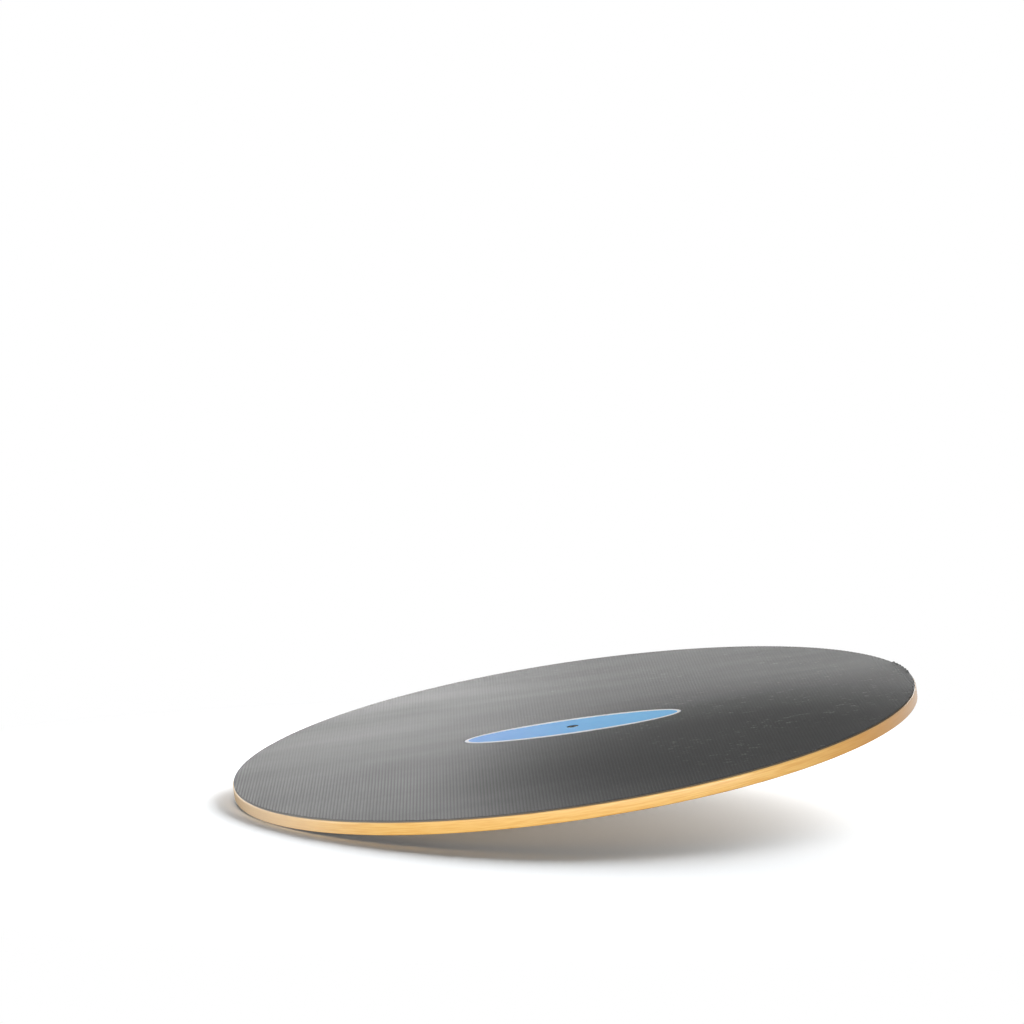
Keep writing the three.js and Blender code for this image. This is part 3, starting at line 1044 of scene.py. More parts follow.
def add_piece(
    name: str,
    mesh: bpy.types.Mesh,
    body: Body,
    slot: Slot,
    replaces: Sequence[str] = (),
    materials: Sequence[bpy.types.Material] = (),
) -> None:
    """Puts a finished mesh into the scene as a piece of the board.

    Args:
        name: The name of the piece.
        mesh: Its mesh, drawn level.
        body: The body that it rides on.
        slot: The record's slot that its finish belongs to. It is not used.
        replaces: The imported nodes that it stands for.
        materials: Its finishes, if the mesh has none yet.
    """
    mesh.name = name
    for material in materials:
        mesh.materials.append(material)
    mesh.transform(LEAN.matrix())
    piece = linked(name, mesh)
    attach(piece, body.value)
    if replaces:
        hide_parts(*replaces)
    log.info("%s: %d faces on body %s", name, len(mesh.polygons), body.value)


def joined(name: str, meshes: Sequence[bpy.types.Mesh]) -> bpy.types.Mesh:
    """Joins meshes into one.

    Args:
        name: The name of the new mesh.
        meshes: Meshes with at most one material each, the same one.

    Returns:
        The new mesh.
    """
    whole = bmesh.new()
    for mesh in meshes:
        whole.from_mesh(mesh)
    result = bpy.data.meshes.new(name)
    whole.to_mesh(result)
    whole.free()
    result.polygons.foreach_set("use_smooth", [True] * len(result.polygons))
    result.polygons.foreach_set("material_index", [0] * len(result.polygons))
    result.set_sharp_from_angle(angle=math.radians(CREASE))
    return result


@dataclass
class Deck:
    """The plywood disc, with the well for the head of the centre bolt."""

    radius: float = 456.9 * MM
    flat_radius: float = 455.3 * MM
    thickness: float = DECK_THICKNESS
    well_radius: float = 8.3 * MM
    well_floor: float = 10.8 * MM
    hole_radius: float = 4.3 * MM
    segments: int = 288
    round_steps: int = 5

    def build(self) -> None:
        """Makes the deck."""
        rounding = self.radius - self.flat_radius
        low, high = rounding, self.thickness - rounding
        outline = [
            (self.hole_radius, self.well_floor),
            (self.hole_radius, 0.0),
            (self.radius / 2, 0.0),
            *arc((self.flat_radius, low), rounding, -90, 0, self.round_steps),
            *arc((self.flat_radius, high), rounding, 0, 90, self.round_steps),
            (self.radius / 2, self.thickness),
            (self.well_radius, self.thickness),
            (self.well_radius, self.well_floor),
        ]

        def skin(radius: float, height: float) -> int:
            """Gives the outside of the rim the lacquered finish."""
            return 1 if radius > self.flat_radius + HAIR else 0

        mesh = Drawing().turned(outline, self.segments, closed=True, skin=skin).mesh("deck_board")
        materials = (VeneerFinish().material(), EdgeFinish().material())
        add_piece("deck_board", mesh, Body.DECK, Slot.PLYWOOD, ["deck"], materials)


@dataclass
class RibbedMat:
    """The rubber mat: a sheet with a pocket for the label, and straight ribs across it."""

    radius: float = 455.3 * MM
    bottom: float = 15.92 * MM
    crest: float = MAT_TOP
    rib_height: float = 0.3 * MM
    rib_pitch: float = 4.2 * MM
    rib_width: float = 2.8 * MM
    rib_sink: float = 0.2 * MM
    rib_shoulder: tuple[float, float] = (0.86, 0.35)
    rib_flat: float = 0.45
    edge_round: float = 0.5 * MM
    pocket_length: float = 294 * MM
    pocket_width: float = 98 * MM
    pocket_floor: float = 17.2 * MM
    pocket_flare: float = 0.6 * MM
    pocket_bevel: float = 0.2 * MM
    pocket_margin: float = 1.2 * MM
    well_radius: float = LABEL_WELL
    heading: float = LABEL_HEADING
    rib_turn: float = math.radians(3.0)
    segments: int = 720
    rib_steps: int = 8
    ripple_places: tuple[float, ...] = (-16.4, -18.0, -19.9, -21.5, -23.4, -25.2)
    ripple_height: float = 2.6 * MM
    ripple_width: float = 0.62
    ripple_reach: float = 13 * MM
    ripple_loops: int = 5
    ripple_foot: float = 0.5 * MM

    def sheet(self) -> Drawing:
        """Draws the sheet below the ribs.

        Returns:
            The drawing.
        """
        drawing = Drawing()
        valley = self.crest - self.rib_height

        def circle(radius: float, height: float) -> list[int]:
            """Adds a round loop."""
            return drawing.oval(radius, radius, height, self.segments)

        def pocket(flare: float, height: float) -> list[int]:
            """Adds an oval loop that lies along the label."""
            long, short = (self.pocket_length + flare) / 2, (self.pocket_width + flare) / 2
            return drawing.oval(long, short, height, self.segments, self.heading)

        count = self.ripple_loops
        ripples = [self.ripple_reach * i / count for i in range(1, count + 1)]
        soft = self.edge_round
        loops = [
            circle(self.well_radius, self.pocket_floor),
            circle(self.well_radius, self.bottom),
            circle(self.radius / 2, self.bottom),
            circle(self.radius, self.bottom),
            circle(self.radius, valley - soft * 0.5),
            circle(self.radius - soft * 0.15, valley - soft * 0.15),
            circle(self.radius - soft * 0.5, valley),
            *(circle(self.radius - inset, valley) for inset in ripples),
            circle(self.radius * 0.75, valley),
            pocket(self.pocket_flare, valley),
            pocket(0.0, valley - self.pocket_bevel),
            pocket(0.0, self.pocket_floor),
        ]
        for low, high in zip(loops, loops[1:] + loops[:1]):
            drawing.bridge(low, high)
        return drawing

    def rib(self) -> Drawing:
        """Draws one rib one metre long, with a rounded top, from the origin away.

        Returns:
            The drawing.
        """
        half = self.rib_width / 2
        foot, top = -self.rib_height - self.rib_sink, 0.0
        broad, shoulder = half * self.rib_shoulder[0], -self.rib_height * self.rib_shoulder[1]
        flat = half * self.rib_flat
        section = [(half, foot), (broad, shoulder), (flat, top)]
        section += [(-x, z) for x, z in reversed(section)]
        drawing = Drawing()
        rows = []
        for step in range(self.rib_steps + 1):
            along = math.sin(math.pi / 2 * step / self.rib_steps)
            rows.append(drawing.loop([(x, along, z) for x, z in section]))
        for near, far in zip(rows, rows[1:]):
            drawing.bridge(near, far)
        drawing.face(rows[0][::-1])
        drawing.face(rows[-1])
        return drawing

    def rib_tree(self, sizes: dict[str, float]) -> GeometrySheet:
        """Writes the tree that lays the ribs and ends them on the rim and the pocket.

        Args:
            sizes: The named inputs with their values.

        Returns:
            The tree.
        """
        sheet = GeometrySheet("mat_ribs", sizes)
        count, pitch = sheet.size("Count"), sheet.size("Pitch")
        first = (1 - count) * pitch / 2
        sockets = {
            "Count": count,
            "Start Location": sheet.vector(x=first),
            "Offset": sheet.vector(x=pitch),
        }
        row = sheet.node("GeometryNodeMeshLine", {"mode": "OFFSET"}, sockets)
        sockets = {"Points": row, "Instance": sheet.size("Geometry")}
        ribs = sheet.node("GeometryNodeInstanceOnPoints", {}, sockets)
        ribs = sheet.node("GeometryNodeRealizeInstances", {}, {"Geometry": ribs})
        place = sheet.node("GeometryNodeInputPosition", {}, {})
        side, share, height = place.parts()
        rim, ratio = sheet.size("Rim"), side / sheet.size("Pocket Reach")
        outer = (rim * rim - side * side).at_least(0.0).root()
        inner = (1 - ratio * ratio).at_least(0.0).root() * sheet.size("Pocket Depth")
        inner = inner + side * sheet.size("Pocket Slant")
        away = inner + (outer - inner) * share
        lift = sheet.vector(side, away, height + sheet.size("Crest"))
        ribs = sheet.node("GeometryNodeSetPosition", {}, {"Geometry": ribs, "Position": lift})
        sockets = {"Geometry": ribs, "Rotation": (0, 0, math.pi)}
        other = sheet.node("GeometryNodeTransform", {}, sockets)
        join = sheet.add("GeometryNodeJoinGeometry", {}, {})
        for half in (ribs, other):
            sheet.tree.links.new(half.socket, join.inputs[0])
        turn = sheet.vector(z=sheet.size("Heading"))
        turned = sheet.node("FunctionNodeEulerToRotation", {}, {0: turn})
        sockets = {"Geometry": Wire(sheet, join.outputs[0]), "Rotation": turned}
        sheet.close(sheet.node("GeometryNodeTransform", {}, sockets))
        return sheet

    def ripple(self, mesh: bpy.types.Mesh) -> bpy.types.Mesh:
        """Lifts the top of the mat in small waves where its edge has crept.

        Args:
            mesh: A mesh of the mat, drawn level.

        Returns:
            The same mesh.
        """
        for vertex in mesh.vertices:
            x, y, height = vertex.co
            outward = (math.hypot(x, y) - self.radius + self.ripple_reach) / self.ripple_reach
            if outward <= 0 or height < self.bottom + self.ripple_foot:
                continue
            turn = math.degrees(math.atan2(y, x))
            asides = ((turn - place) / self.ripple_width for place in self.ripple_places)
            wave = sum(math.exp(-(aside**2)) for aside in asides)
            vertex.co.z += self.ripple_height * wave * min(outward, 1.0) ** 2
        return mesh

    def rib_sizes(self) -> dict[str, float]:
        """Works out the named inputs of the ribs' tree.

        The ribs lie at a small angle to the oval pocket, so the oval is cut along slanted lines.

        Returns:
            The sizes by the names of their inputs.
        """
        reach = self.radius - self.edge_round
        a = (self.pocket_length + self.pocket_margin) / 2
        b = (self.pocket_width + self.pocket_margin) / 2
        sine, cosine = math.sin(-self.rib_turn), math.cos(self.rib_turn)
        cut = math.hypot(a * cosine, b * sine)
        return {
            "Count": 2 * int((reach - self.rib_width) / self.rib_pitch) + 1,
            "Pitch": self.rib_pitch,
            "Rim": reach,
            "Pocket Reach": cut,
            "Pocket Depth": a * b / cut,
            "Pocket Slant": (a * a - b * b) * sine * cosine / cut**2,
            "Crest": self.crest,
            "Heading": self.heading + self.rib_turn,
        }

    def build(self) -> None:
        """Makes the mat."""
        rubber = MatFinish().material()
        base = self.ripple(self.sheet().mesh("mat_sheet"))
        add_piece("mat_sheet", base, Body.DECK, Slot.MAT_RUBBER, ["grip_mat"], [rubber])
        sizes = self.rib_sizes()
        ribs = self.rib_tree(sizes).grown(self.rib().mesh("rib"), sizes, rubber)
        add_piece("mat_ribs", self.ripple(ribs), Body.DECK, Slot.MAT_RUBBER, ["grip_mat"])


@dataclass
class Label:
    """The oval film in the middle of the mat: blue, with a white line inside a dark border."""

    length: float = 293 * MM
    width: float = 97 * MM
    top: float = 18.1 * MM
    thickness: float = 0.6 * MM
    border: float = 1.3 * MM
    keyline_ends: float = 4.8 * MM
    keyline_sides: float = 8.2 * MM
    edge_round: float = 0.12 * MM
    well_radius: float = LABEL_WELL
    heading: float = LABEL_HEADING
    segments: int = 256

    def build(self) -> None:
        """Makes the label."""
        drawing = Drawing()

        def oval(inset: float, height: float, more: float = 0.0) -> list[int]:
            """Adds an oval loop, drawn in from the edge, and by more at its sides."""
            long, short = self.length / 2 - inset, self.width / 2 - inset - more
            return drawing.oval(long, short, height, self.segments)

        def circle(height: float) -> list[int]:
            """Adds the loop round the bolt."""
            return drawing.oval(self.well_radius, self.well_radius, height, self.segments)

        low = self.top - self.thickness
        broader = self.keyline_sides - self.keyline_ends
        loops = [
            (circle(low), 0),
            (oval(0.0, low), 0),
            (oval(0.0, self.top - self.edge_round), 0),
            (oval(self.edge_round, self.top), 0),
            (oval(self.border, self.top), 1),
            (oval(self.border + self.keyline_ends, self.top, broader), 2),
            (circle(self.top), 2),
        ]
        for (lower, skin), (upper, _) in zip(loops, loops[1:] + loops[:1]):
            drawing.bridge(lower, upper, skin)
        materials = [film.material() for film in LABEL_FILMS]
        turned = Matrix.Rotation(self.heading, 4, "Z")
        mesh = drawing.mesh("label_film", matrix=turned)
        add_piece("label_film", mesh, Body.DECK, Slot.LABEL_FILM, ["label"], materials)


@dataclass
class CentreBolt:
    """The bolt through the middle of the deck: a domed head with a hexagon socket."""

    head_top: float = 17.4 * MM
    head_bottom: float = 13.0 * MM
    head_radius: float = 7.0 * MM
    flat_radius: float = 3.75 * MM
    dome_radius: float = 8.0 * MM
    shank_radius: float = 4.0 * MM
    tip: float = -22.0 * MM
    tip_chamfer: float = 1.0 * MM
    socket_width: float = 5.0 * MM
    socket_depth: float = 2.6 * MM
    socket_cone: float = 0.6 * MM
    head_bevel: float = 0.3 * MM
    segments: int = 48
    dome_steps: int = 8
    crease: float = 28.0

    def socket_loop(self, drawing: Drawing, height: float) -> list[int]:
        """Adds the hexagon of the socket at a height, with as many points as the head.

        Args:
            drawing: The bolt in the making.
            height: The height of the loop.

        Returns:
            The numbers of its points.
        """
        points = []
        side = FULL_TURN / 6
        for i in range(self.segments):
            turn = FULL_TURN * i / self.segments
            within = (turn + side / 2) % side - side / 2
            reach = self.socket_width / 2 / math.cos(within)
            points.append((reach * math.cos(turn), reach * math.sin(turn), height))
        return drawing.loop(points)

    def build(self) -> None:
        """Makes the bolt."""
        start = math.degrees(math.acos(self.head_radius / self.dome_radius))
        end = math.degrees(math.acos(self.flat_radius / self.dome_radius))
        middle = self.head_top - self.dome_radius * math.sin(math.radians(end))
        outline = [
            (0.0, self.tip),
            (self.shank_radius - self.tip_chamfer, self.tip),
            (self.shank_radius, self.tip + self.tip_chamfer),
            (self.shank_radius, self.head_bottom),
            (self.head_radius - self.head_bevel, self.head_bottom),
            (self.head_radius, self.head_bottom + self.head_bevel),
            *arc((0.0, middle), self.dome_radius, start, end, self.dome_steps),
        ]
        drawing = Drawing().turned(outline, self.segments)
        depth = self.head_top - self.socket_depth
        loops = [
            list(range(len(drawing.points) - self.segments, len(drawing.points))),
            self.socket_loop(drawing, self.head_top),
            self.socket_loop(drawing, depth),
            drawing.loop([(0.0, 0.0, depth - self.socket_cone)]),
        ]
        for upper, lower in zip(loops, loops[1:]):
            drawing.bridge(upper, lower)
        mesh = drawing.mesh("bolt_head", crease=self.crease)
        materials = [DARK_STEEL.material()]
        add_piece("socket_bolt", mesh, Body.DECK, Slot.DARK_STEEL, ["centre_bolt"], materials)


@dataclass
class Thread:
    """The ridge of a coarse right-hand screw thread."""

    wall_radius: float
    outward: int
    top: float
    turns: float = 3.0
    pitch: float = 6.0 * MM
    depth: float = 2.5 * MM
    crest_width: float = 1.9 * MM
    base_width: float = 3.6 * MM
    embed: float = 1.0 * MM
    soft: float = 0.3 * MM
    fade_turns: float = 0.125
    steps_per_turn: int = 96

    def draw(self, drawing: Drawing) -> None:
        """Adds the ridge to a drawing.

        Args:
            drawing: The hub or the half ball in the making.
        """
        flank = (self.base_width - self.crest_width) / 2 / self.depth
        root = self.base_width / 2 + flank * self.embed
        crest, shoulder = self.crest_width / 2, self.depth - self.soft
        section = [(-self.embed, -root), (shoulder, -crest - flank * self.soft),
                   (self.depth, -crest + self.soft), (self.depth, crest - self.soft),
                   (shoulder, crest + flank * self.soft), (-self.embed, root)]
        steps = int(self.turns * self.steps_per_turn)
        rows = []
        for step in range(steps + 1):
            turn = self.turns * step / steps
            fade = min(1.0, turn / self.fade_turns, (self.turns - turn) / self.fade_turns)
            highest = -self.embed / 2 + (self.depth + self.embed / 2) * fade
            angle = -FULL_TURN * turn
            points = []
            for out, up in section:
                radius = self.wall_radius + self.outward * min(out, highest)
                height = self.top - self.pitch * turn + self.outward * up
                points.append((radius * math.cos(angle), radius * math.sin(angle), height))
            rows.append(drawing.loop(points))
        for near, far in zip(rows, rows[1:]):
            drawing.bridge(far, near)
        drawing.face(rows[0])
        drawing.face(rows[-1][::-1])


@dataclass
class Hub:
    """The hub plate under the deck: flange, screw pads and threaded boss, with its screws."""

    flange_top: float = -0.3 * MM
    flange_bottom: float = -6.3 * MM
    flange_radius: float = 90.0 * MM
    edge_round: float = 2.0 * MM
    boss_radius: float = 32.5 * MM
    bore_radius: float = 26.5 * MM
    boss_bottom: float = -54.3 * MM
    fillet: float = 3.0 * MM
    bush_hole: float = 6.6 * MM
    thread_top: float = -31.3 * MM
    pad_radius: float = 7.5 * MM
    pad_height: float = 1.0 * MM
    pad_round: float = 0.4 * MM
    pad_foot: tuple[float, float] = (0.5 * MM, 0.2 * MM)
    mouth_bevels: tuple[float, float] = (0.8 * MM, 1.2 * MM)
    draft: float = 0.4 * MM
    screw_count: int = 8
    screw_circle: float = 80.0 * MM
    screw_seat: float = -7.6 * MM
    head_radius: float = 4.75 * MM
    head_height: float = 3.0 * MM
    crown: tuple[float, float] = (1.6 * MM, 2.0 * MM)
    shank_radius: float = 2.2 * MM
    screw_length: float = 17.0 * MM
    tip_length: float = 4.0 * MM
    slot_length: float = 5.0 * MM
    slot_width: float = 1.2 * MM
    slot_depth: float = 1.6 * MM
    cutter_overrun: float = 1.0 * MM
    segments: int = 144
    small_segments: int = 32
    round_steps: int = 6

    def plate(self) -> Drawing:
        """Draws the flange, the boss and its thread.

        Returns:
            The drawing.
        """
        flat = self.flange_radius - self.edge_round
        neck = self.boss_radius + self.fillet
        inner, outer = self.mouth_bevels
        steps = self.round_steps
        outline = [
            (self.bush_hole, self.flange_top),
            (self.bush_hole, self.flange_bottom),
            (self.bore_radius, self.flange_bottom),
            (self.bore_radius, self.boss_bottom + inner),
            (self.bore_radius + inner, self.boss_bottom),
            (self.boss_radius - outer, self.boss_bottom),
            (self.boss_radius, self.boss_bottom + outer),
            *arc((neck, self.flange_bottom - self.fillet), self.fillet, 180, 90, steps),
            *arc((flat, self.flange_bottom + self.edge_round), self.edge_round, -90, 0, steps),
            (self.flange_radius - self.draft, self.flange_top),
        ]
        drawing = Drawing().turned(outline, self.segments, closed=True)
        Thread(self.boss_radius, 1, self.thread_top).draw(drawing)
        return drawing

    def pad(self) -> bpy.types.Mesh:
        """Draws one screw pad, a low boss with a soft foot.

        Returns:
            Its mesh, about the axis.
        """
        low = self.flange_bottom - self.pad_height
        soft, (wide, high) = self.pad_round, self.pad_foot
        outline = [
            (0.0, low),
            *arc((self.pad_radius - soft, low + soft), soft, -90, 0, self.round_steps // 2),
            (self.pad_radius + wide * 0.3, self.flange_bottom - high),
            (self.pad_radius + wide, self.flange_bottom + high),
            (0.0, self.flange_bottom + wide),
        ]
        return Drawing().turned(outline, self.small_segments).mesh("pad")

    def slot_cutter(self, head: float) -> Drawing:
        """Draws the cross that cuts the slots into a screw's head.

        Args:
            head: The height of the crown of the head, which faces down.

        Returns:
            The cutter, which starts below the crown.
        """
        cutter = Drawing()
        low, high = head - self.cutter_overrun, head + self.slot_depth
        sizes = (self.slot_length, self.slot_width)
        for length, width in (sizes, sizes[::-1]):
            x, y = length / 2, width / 2
            foot = [Vector((a, b, low)) for a, b in ((-x, -y), (-x, y), (x, y), (x, -y))]
            cutter.extruded(foot, Vector((0, 0, high - low)))
        return cutter

    def screw(self) -> bpy.types.Mesh:
        """Draws one pan-head screw, head down, with a cross slot cut into its head.

        Returns:
            Its mesh, about the axis.
        """
        head = self.screw_seat - self.head_height
        wide, high = self.crown
        flat = self.head_radius - wide
        quarter = arc((0.0, 0.0), 1.0, -90, 0, self.round_steps)
        crown = [(flat + wide * x, head + high + high * z) for x, z in quarter]
        tip = self.screw_seat + self.screw_length
        outline = [
            (0.0, head),
            *crown,
            (self.head_radius, self.screw_seat),
            (self.shank_radius, self.screw_seat),
            (self.shank_radius, tip - self.tip_length),
            (0.0, tip),
        ]
        blank = linked("screw_blank", Drawing().turned(outline, self.small_segments).mesh("screw"))
        tool = linked("slot_cutter", self.slot_cutter(head).mesh("slot_cutter"))
        modifier = blank.modifiers.new("slot", "BOOLEAN")
        modifier.operation, modifier.solver, modifier.object = "DIFFERENCE", "EXACT", tool
        modifier.use_self = True
        mesh = evaluated_mesh(blank)
        for item in (blank, tool):
            bpy.data.objects.remove(item)
        return mesh

    def build(self) -> None:
        """Makes the hub plate and its screws."""
        plastic, zinc = HUB_PLASTIC.material(), ZINC_STEEL.material()
        pads = ring_of_copies(self.pad(), self.screw_count, self.screw_circle, plastic)
        plate = joined("hub", [self.plate().mesh("hub_flange"), pads])
        add_piece("hub", plate, Body.DECK, Slot.BLACK_PLASTIC, ["hub_plate"], [plastic])
        screws = ring_of_copies(self.screw(), self.screw_count, self.screw_circle, zinc)
        nodes = [f"hub_screw_{i + 1}" for i in range(self.screw_count)]
        add_piece("hub_screws", screws, Body.DECK, Slot.ZINC_STEEL, nodes)


@dataclass
class HalfBall:
    """The hollow half ball: fluted dome, threaded sleeve and the ribs between them."""

    middle: float = BALL_MIDDLE
    top: float = -6.6 * MM
    radius: float = BALL_RADIUS
    inner_radius: float = 64.0 * MM
    rim_round: float = 0.8 * MM
    seat_radius: float = 67.9 * MM
    seat_angle: float = 28.25
    stud_hole: float = 4.3 * MM
    pad_radius: float = 10.0 * MM
    pad_top: float = -70.2 * MM
    bore_radius: float = 35.5 * MM
    sleeve_radius: float = 40.5 * MM
    collar_radius: float = 43.5 * MM
    sleeve_top: float = -8.1 * MM
    collar_height: float = 12.0 * MM
    collar_foot: float = 1.5 * MM
    mouth_bevel: float = 0.6 * MM
    groove_radius: float = 38.5 * MM
    groove_top: float = -10.6 * MM
    groove_bottom: float = -14.8 * MM
    thread_top: float = -28.3 * MM
    rib_count: int = 8
    rib_top: float = -14.1 * MM
    rib_thickness: float = 3.0 * MM
    rib_bite: float = 3.0 * MM
    rib_root: float = 2.5 * MM
    rib_steps: int = 10
    flute_count: int = 12
    flute_axis: float = 76.2 * MM
    flute_radius: float = 9.0 * MM
    flute_blend: float = 0.7 * MM
    flute_margin: float = 2.0 * MM
    flute_start: float = 73.0
    seat_steps: int = 10
    dome_steps: int = 24
    flute_steps: int = 34
    pad_steps: int = 12
    inner_rim: float = 88.0
    segments: int = 384

    def fluted(self, radius: float, height: float, turn: float) -> float:
        """Sinks the dome's radius where a finger flute runs up to the rim.

        Args:
            radius: The radius on the outline.
            height: The height of the point.
            turn: Its angle about the axis.

        Returns:
            The radius of the point.
        """
        if radius < self.flute_axis - self.flute_radius - self.flute_margin:
            return radius
        step = FULL_TURN / self.flute_count
        aside = abs((turn % step) - step / 2)
        reach = self.flute_radius**2 - (self.flute_axis * math.sin(aside)) ** 2
        if reach <= 0:
            return radius
        flute = self.flute_axis * math.cos(aside) - math.sqrt(reach)
        blend = max(self.flute_blend - abs(radius - flute), 0.0) / self.flute_blend
        return min(radius, flute) - blend * blend * self.flute_blend / 4

    def shell(self) -> Drawing:
        """Draws the dome, outside and in, with the sleeve and its collar.

        Returns:
            The drawing.
        """
        inner = self.inner_radius

        def sphere(radius: float, start: float, end: float, count: int) -> Outline:
            """Draws an arc about the middle, by its angles from straight down."""
            return [on_ball(radius, start + (end - start) * i / count) for i in range(count + 1)]

        meet = math.degrees(math.asin(self.sleeve_radius / inner))
        bore_meet = math.degrees(math.asin(self.bore_radius / inner))
        pad_meet = math.degrees(math.asin(self.pad_radius / inner))
        hole_meet = math.degrees(math.asin(self.stud_hole / self.seat_radius))
        collar_bottom = self.sleeve_top - self.collar_height
        rim_inner = math.sqrt(inner**2 - (self.top - self.middle) ** 2)
        rim, bevel = self.rim_round, self.mouth_bevel
        outline = [
            (self.stud_hole, self.pad_top),
            *sphere(self.seat_radius, hole_meet, self.seat_angle, self.seat_steps),
            *sphere(self.radius, self.seat_angle, self.flute_start - 1, self.dome_steps),
            *sphere(self.radius, self.flute_start, 90, self.flute_steps),
            (self.radius - rim * 0.25, self.top - rim * 0.3),
            (self.radius - rim, self.top),
            (rim_inner + rim * 0.6, self.top),
            (rim_inner, self.top - rim * 0.6),
            *sphere(inner, self.inner_rim, meet, self.dome_steps),
            (self.sleeve_radius, collar_bottom - self.collar_foot),
            (self.collar_radius, collar_bottom),
            (self.collar_radius, self.sleeve_top - bevel),
            (self.collar_radius - bevel, self.sleeve_top),
            (self.bore_radius + bevel, self.sleeve_top),
            (self.bore_radius, self.sleeve_top - bevel),
            (self.bore_radius, self.groove_top),
            (self.groove_radius, self.groove_top),
            (self.groove_radius, self.groove_bottom),
            (self.bore_radius, self.groove_bottom),
            *sphere(inner, bore_meet, pad_meet, self.pad_steps),
            (self.pad_radius, self.pad_top),
        ]
        drawing = Drawing().turned(outline, self.segments, closed=True, shape=self.fluted)
        Thread(self.bore_radius, -1, self.thread_top).draw(drawing)
        return drawing

    def rib(self) -> bpy.types.Mesh:
        """Draws one rib, from the sleeve out into the wall of the dome.

        Returns:
            Its mesh.
        """
        wall = self.inner_radius + self.rib_bite
        start = math.degrees(math.acos((self.middle - self.rib_top) / wall))
        root = self.bore_radius + self.rib_root
        end = math.degrees(math.asin(root / wall))
        steps = range(self.rib_steps + 1)
        curve = [on_ball(wall, start + (end - start) * i / self.rib_steps) for i in steps]
        section = [(root, self.rib_top), *curve]
        corners = [Vector((x, -self.rib_thickness / 2, z)) for x, z in section[::-1]]
        drawing = Drawing()
        drawing.extruded(corners, Vector((0, self.rib_thickness, 0)))
        return drawing.mesh("ball_rib")

    def build(self) -> None:
        """Makes the half ball."""
        plastic = HUB_PLASTIC.material()
        ribs = ring_of_copies(self.rib(), self.rib_count, 0.0, plastic)
        ball = joined("half_ball_shell", [self.shell().mesh("ball"), ribs])
        add_piece("ball_shell", ball, Body.BALL, Slot.BLACK_PLASTIC, ["half_ball"], [plastic])


@dataclass
class Tread:
    """The rubber cap that the half ball rolls on, held by its own stud."""

    middle: float = BALL_MIDDLE
    radius: float = 70.6 * MM
    ball_radius: float = BALL_RADIUS
    thickness: float = 2.4 * MM
    spread: float = 28.0
    contact: float = 9.799916
    contact_band: float = 12.0
    grooves: tuple[float, ...] = (18.5, 21.5, 24.5)
    groove_depth: float = 0.6 * MM
    groove_half: tuple[float, float] = (0.585, 0.27)
    edge_angles: tuple[float, float] = (27.2, 27.6)
    edge_bevel: float = 0.2 * MM
    stud_angle: float = 3.3
    stud_radius: float = 4.0 * MM
    stud_head_radius: float = 7.0 * MM
    stud_seat: float = -69.9 * MM
    stud_head_height: float = 3.0 * MM
    segments: int = 192
    crease: float = 24.0

    def build(self) -> None:
        """Makes the tread."""
        inner, sunk = self.radius - self.thickness, self.radius - self.groove_depth
        band = self.contact_band / 2
        mouth, floor = self.groove_half
        outline = [
            (0.0, self.middle - self.radius),
            on_ball(self.radius, self.contact - band),
            on_ball(self.radius, self.contact + band),
        ]
        for groove in self.grooves:
            outline += [
                on_ball(self.radius, groove - mouth),
                on_ball(sunk, groove - floor),
                on_ball(sunk, groove + floor),
                on_ball(self.radius, groove + mouth),
            ]
        before, edge = self.edge_angles
        outline += [
            on_ball(self.radius, before),
            on_ball(self.radius - self.edge_bevel, edge),
            on_ball(self.ball_radius, self.spread),
            *(on_ball(inner, self.spread * share) for share in (1, 0.75, 0.5, 0.25)),
            (self.stud_radius, on_ball(inner, self.stud_angle)[1]),
            (self.stud_radius, self.stud_seat),
            (self.stud_head_radius, self.stud_seat),
            (self.stud_radius, self.stud_seat + self.stud_head_height),
            (0.0, self.stud_seat + self.stud_head_height),
        ]
        mesh = Drawing().turned(outline, self.segments).mesh("tread_cap", crease=self.crease)
        rubber = SOLE_RUBBER.material()
        add_piece("tread_cap", mesh, Body.BALL, Slot.TREAD_RUBBER, ["ball_tread"], [rubber])


@dataclass
class WiperRing:
    """The rubber ring in the mouth of the half ball."""

    inner: float = 32.8 * MM
    outer: float = 38.2 * MM
    bottom: float = -14.5 * MM
    top: float = -10.9 * MM
    rounding: float = 1.0 * MM
    round_steps: int = 4
    segments: int = 96

    def build(self) -> None:
        """Makes the ring."""
        inner, outer = self.inner + self.rounding, self.outer - self.rounding
        low, high = self.bottom + self.rounding, self.top - self.rounding
        corners = {180: (inner, low), 270: (outer, low), 0: (outer, high), 90: (inner, high)}
        outline = []
        for start, corner in corners.items():
            outline += arc(corner, self.rounding, start, start + 90, self.round_steps)
        mesh = Drawing().turned(outline, self.segments, closed=True).mesh("wiper_ring")
        rubber = SOLE_RUBBER.material()
        add_piece("wiper_ring", mesh, Body.RING, Slot.TREAD_RUBBER, ["drag_ring"], [rubber])


@dataclass
class Hardware:
    """The small parts inside the hub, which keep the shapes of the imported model."""

    steel_nodes: tuple[str, ...] = ("centre_washer", "bolt_bush", "back_washer", "lock_nut")
    nylon_nodes: tuple[str, ...] = ("lock_nut_insert",)

    def build(self) -> None:
        """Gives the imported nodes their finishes."""
        for names, finish in ((self.steel_nodes, ZINC_STEEL), (self.nylon_nodes, NUT_NYLON)):
            for name in names:
                mesh = frame["nodes"][name].data
                mesh.materials.clear()
                mesh.materials.append(finish.material())
                log.info("%s: finish %s", name, finish.name)


@dataclass(frozen=True)
class Lamp:
    """A lamp, by its angles round the board from the camera and above the floor, and its power.

    A softbox also has its distance and its width and height, in metres.
    """

    name: str
    around: float
    height: float
    power: float
    reach: float = 0.0
    size: tuple[float, float] = (0.0, 0.0)


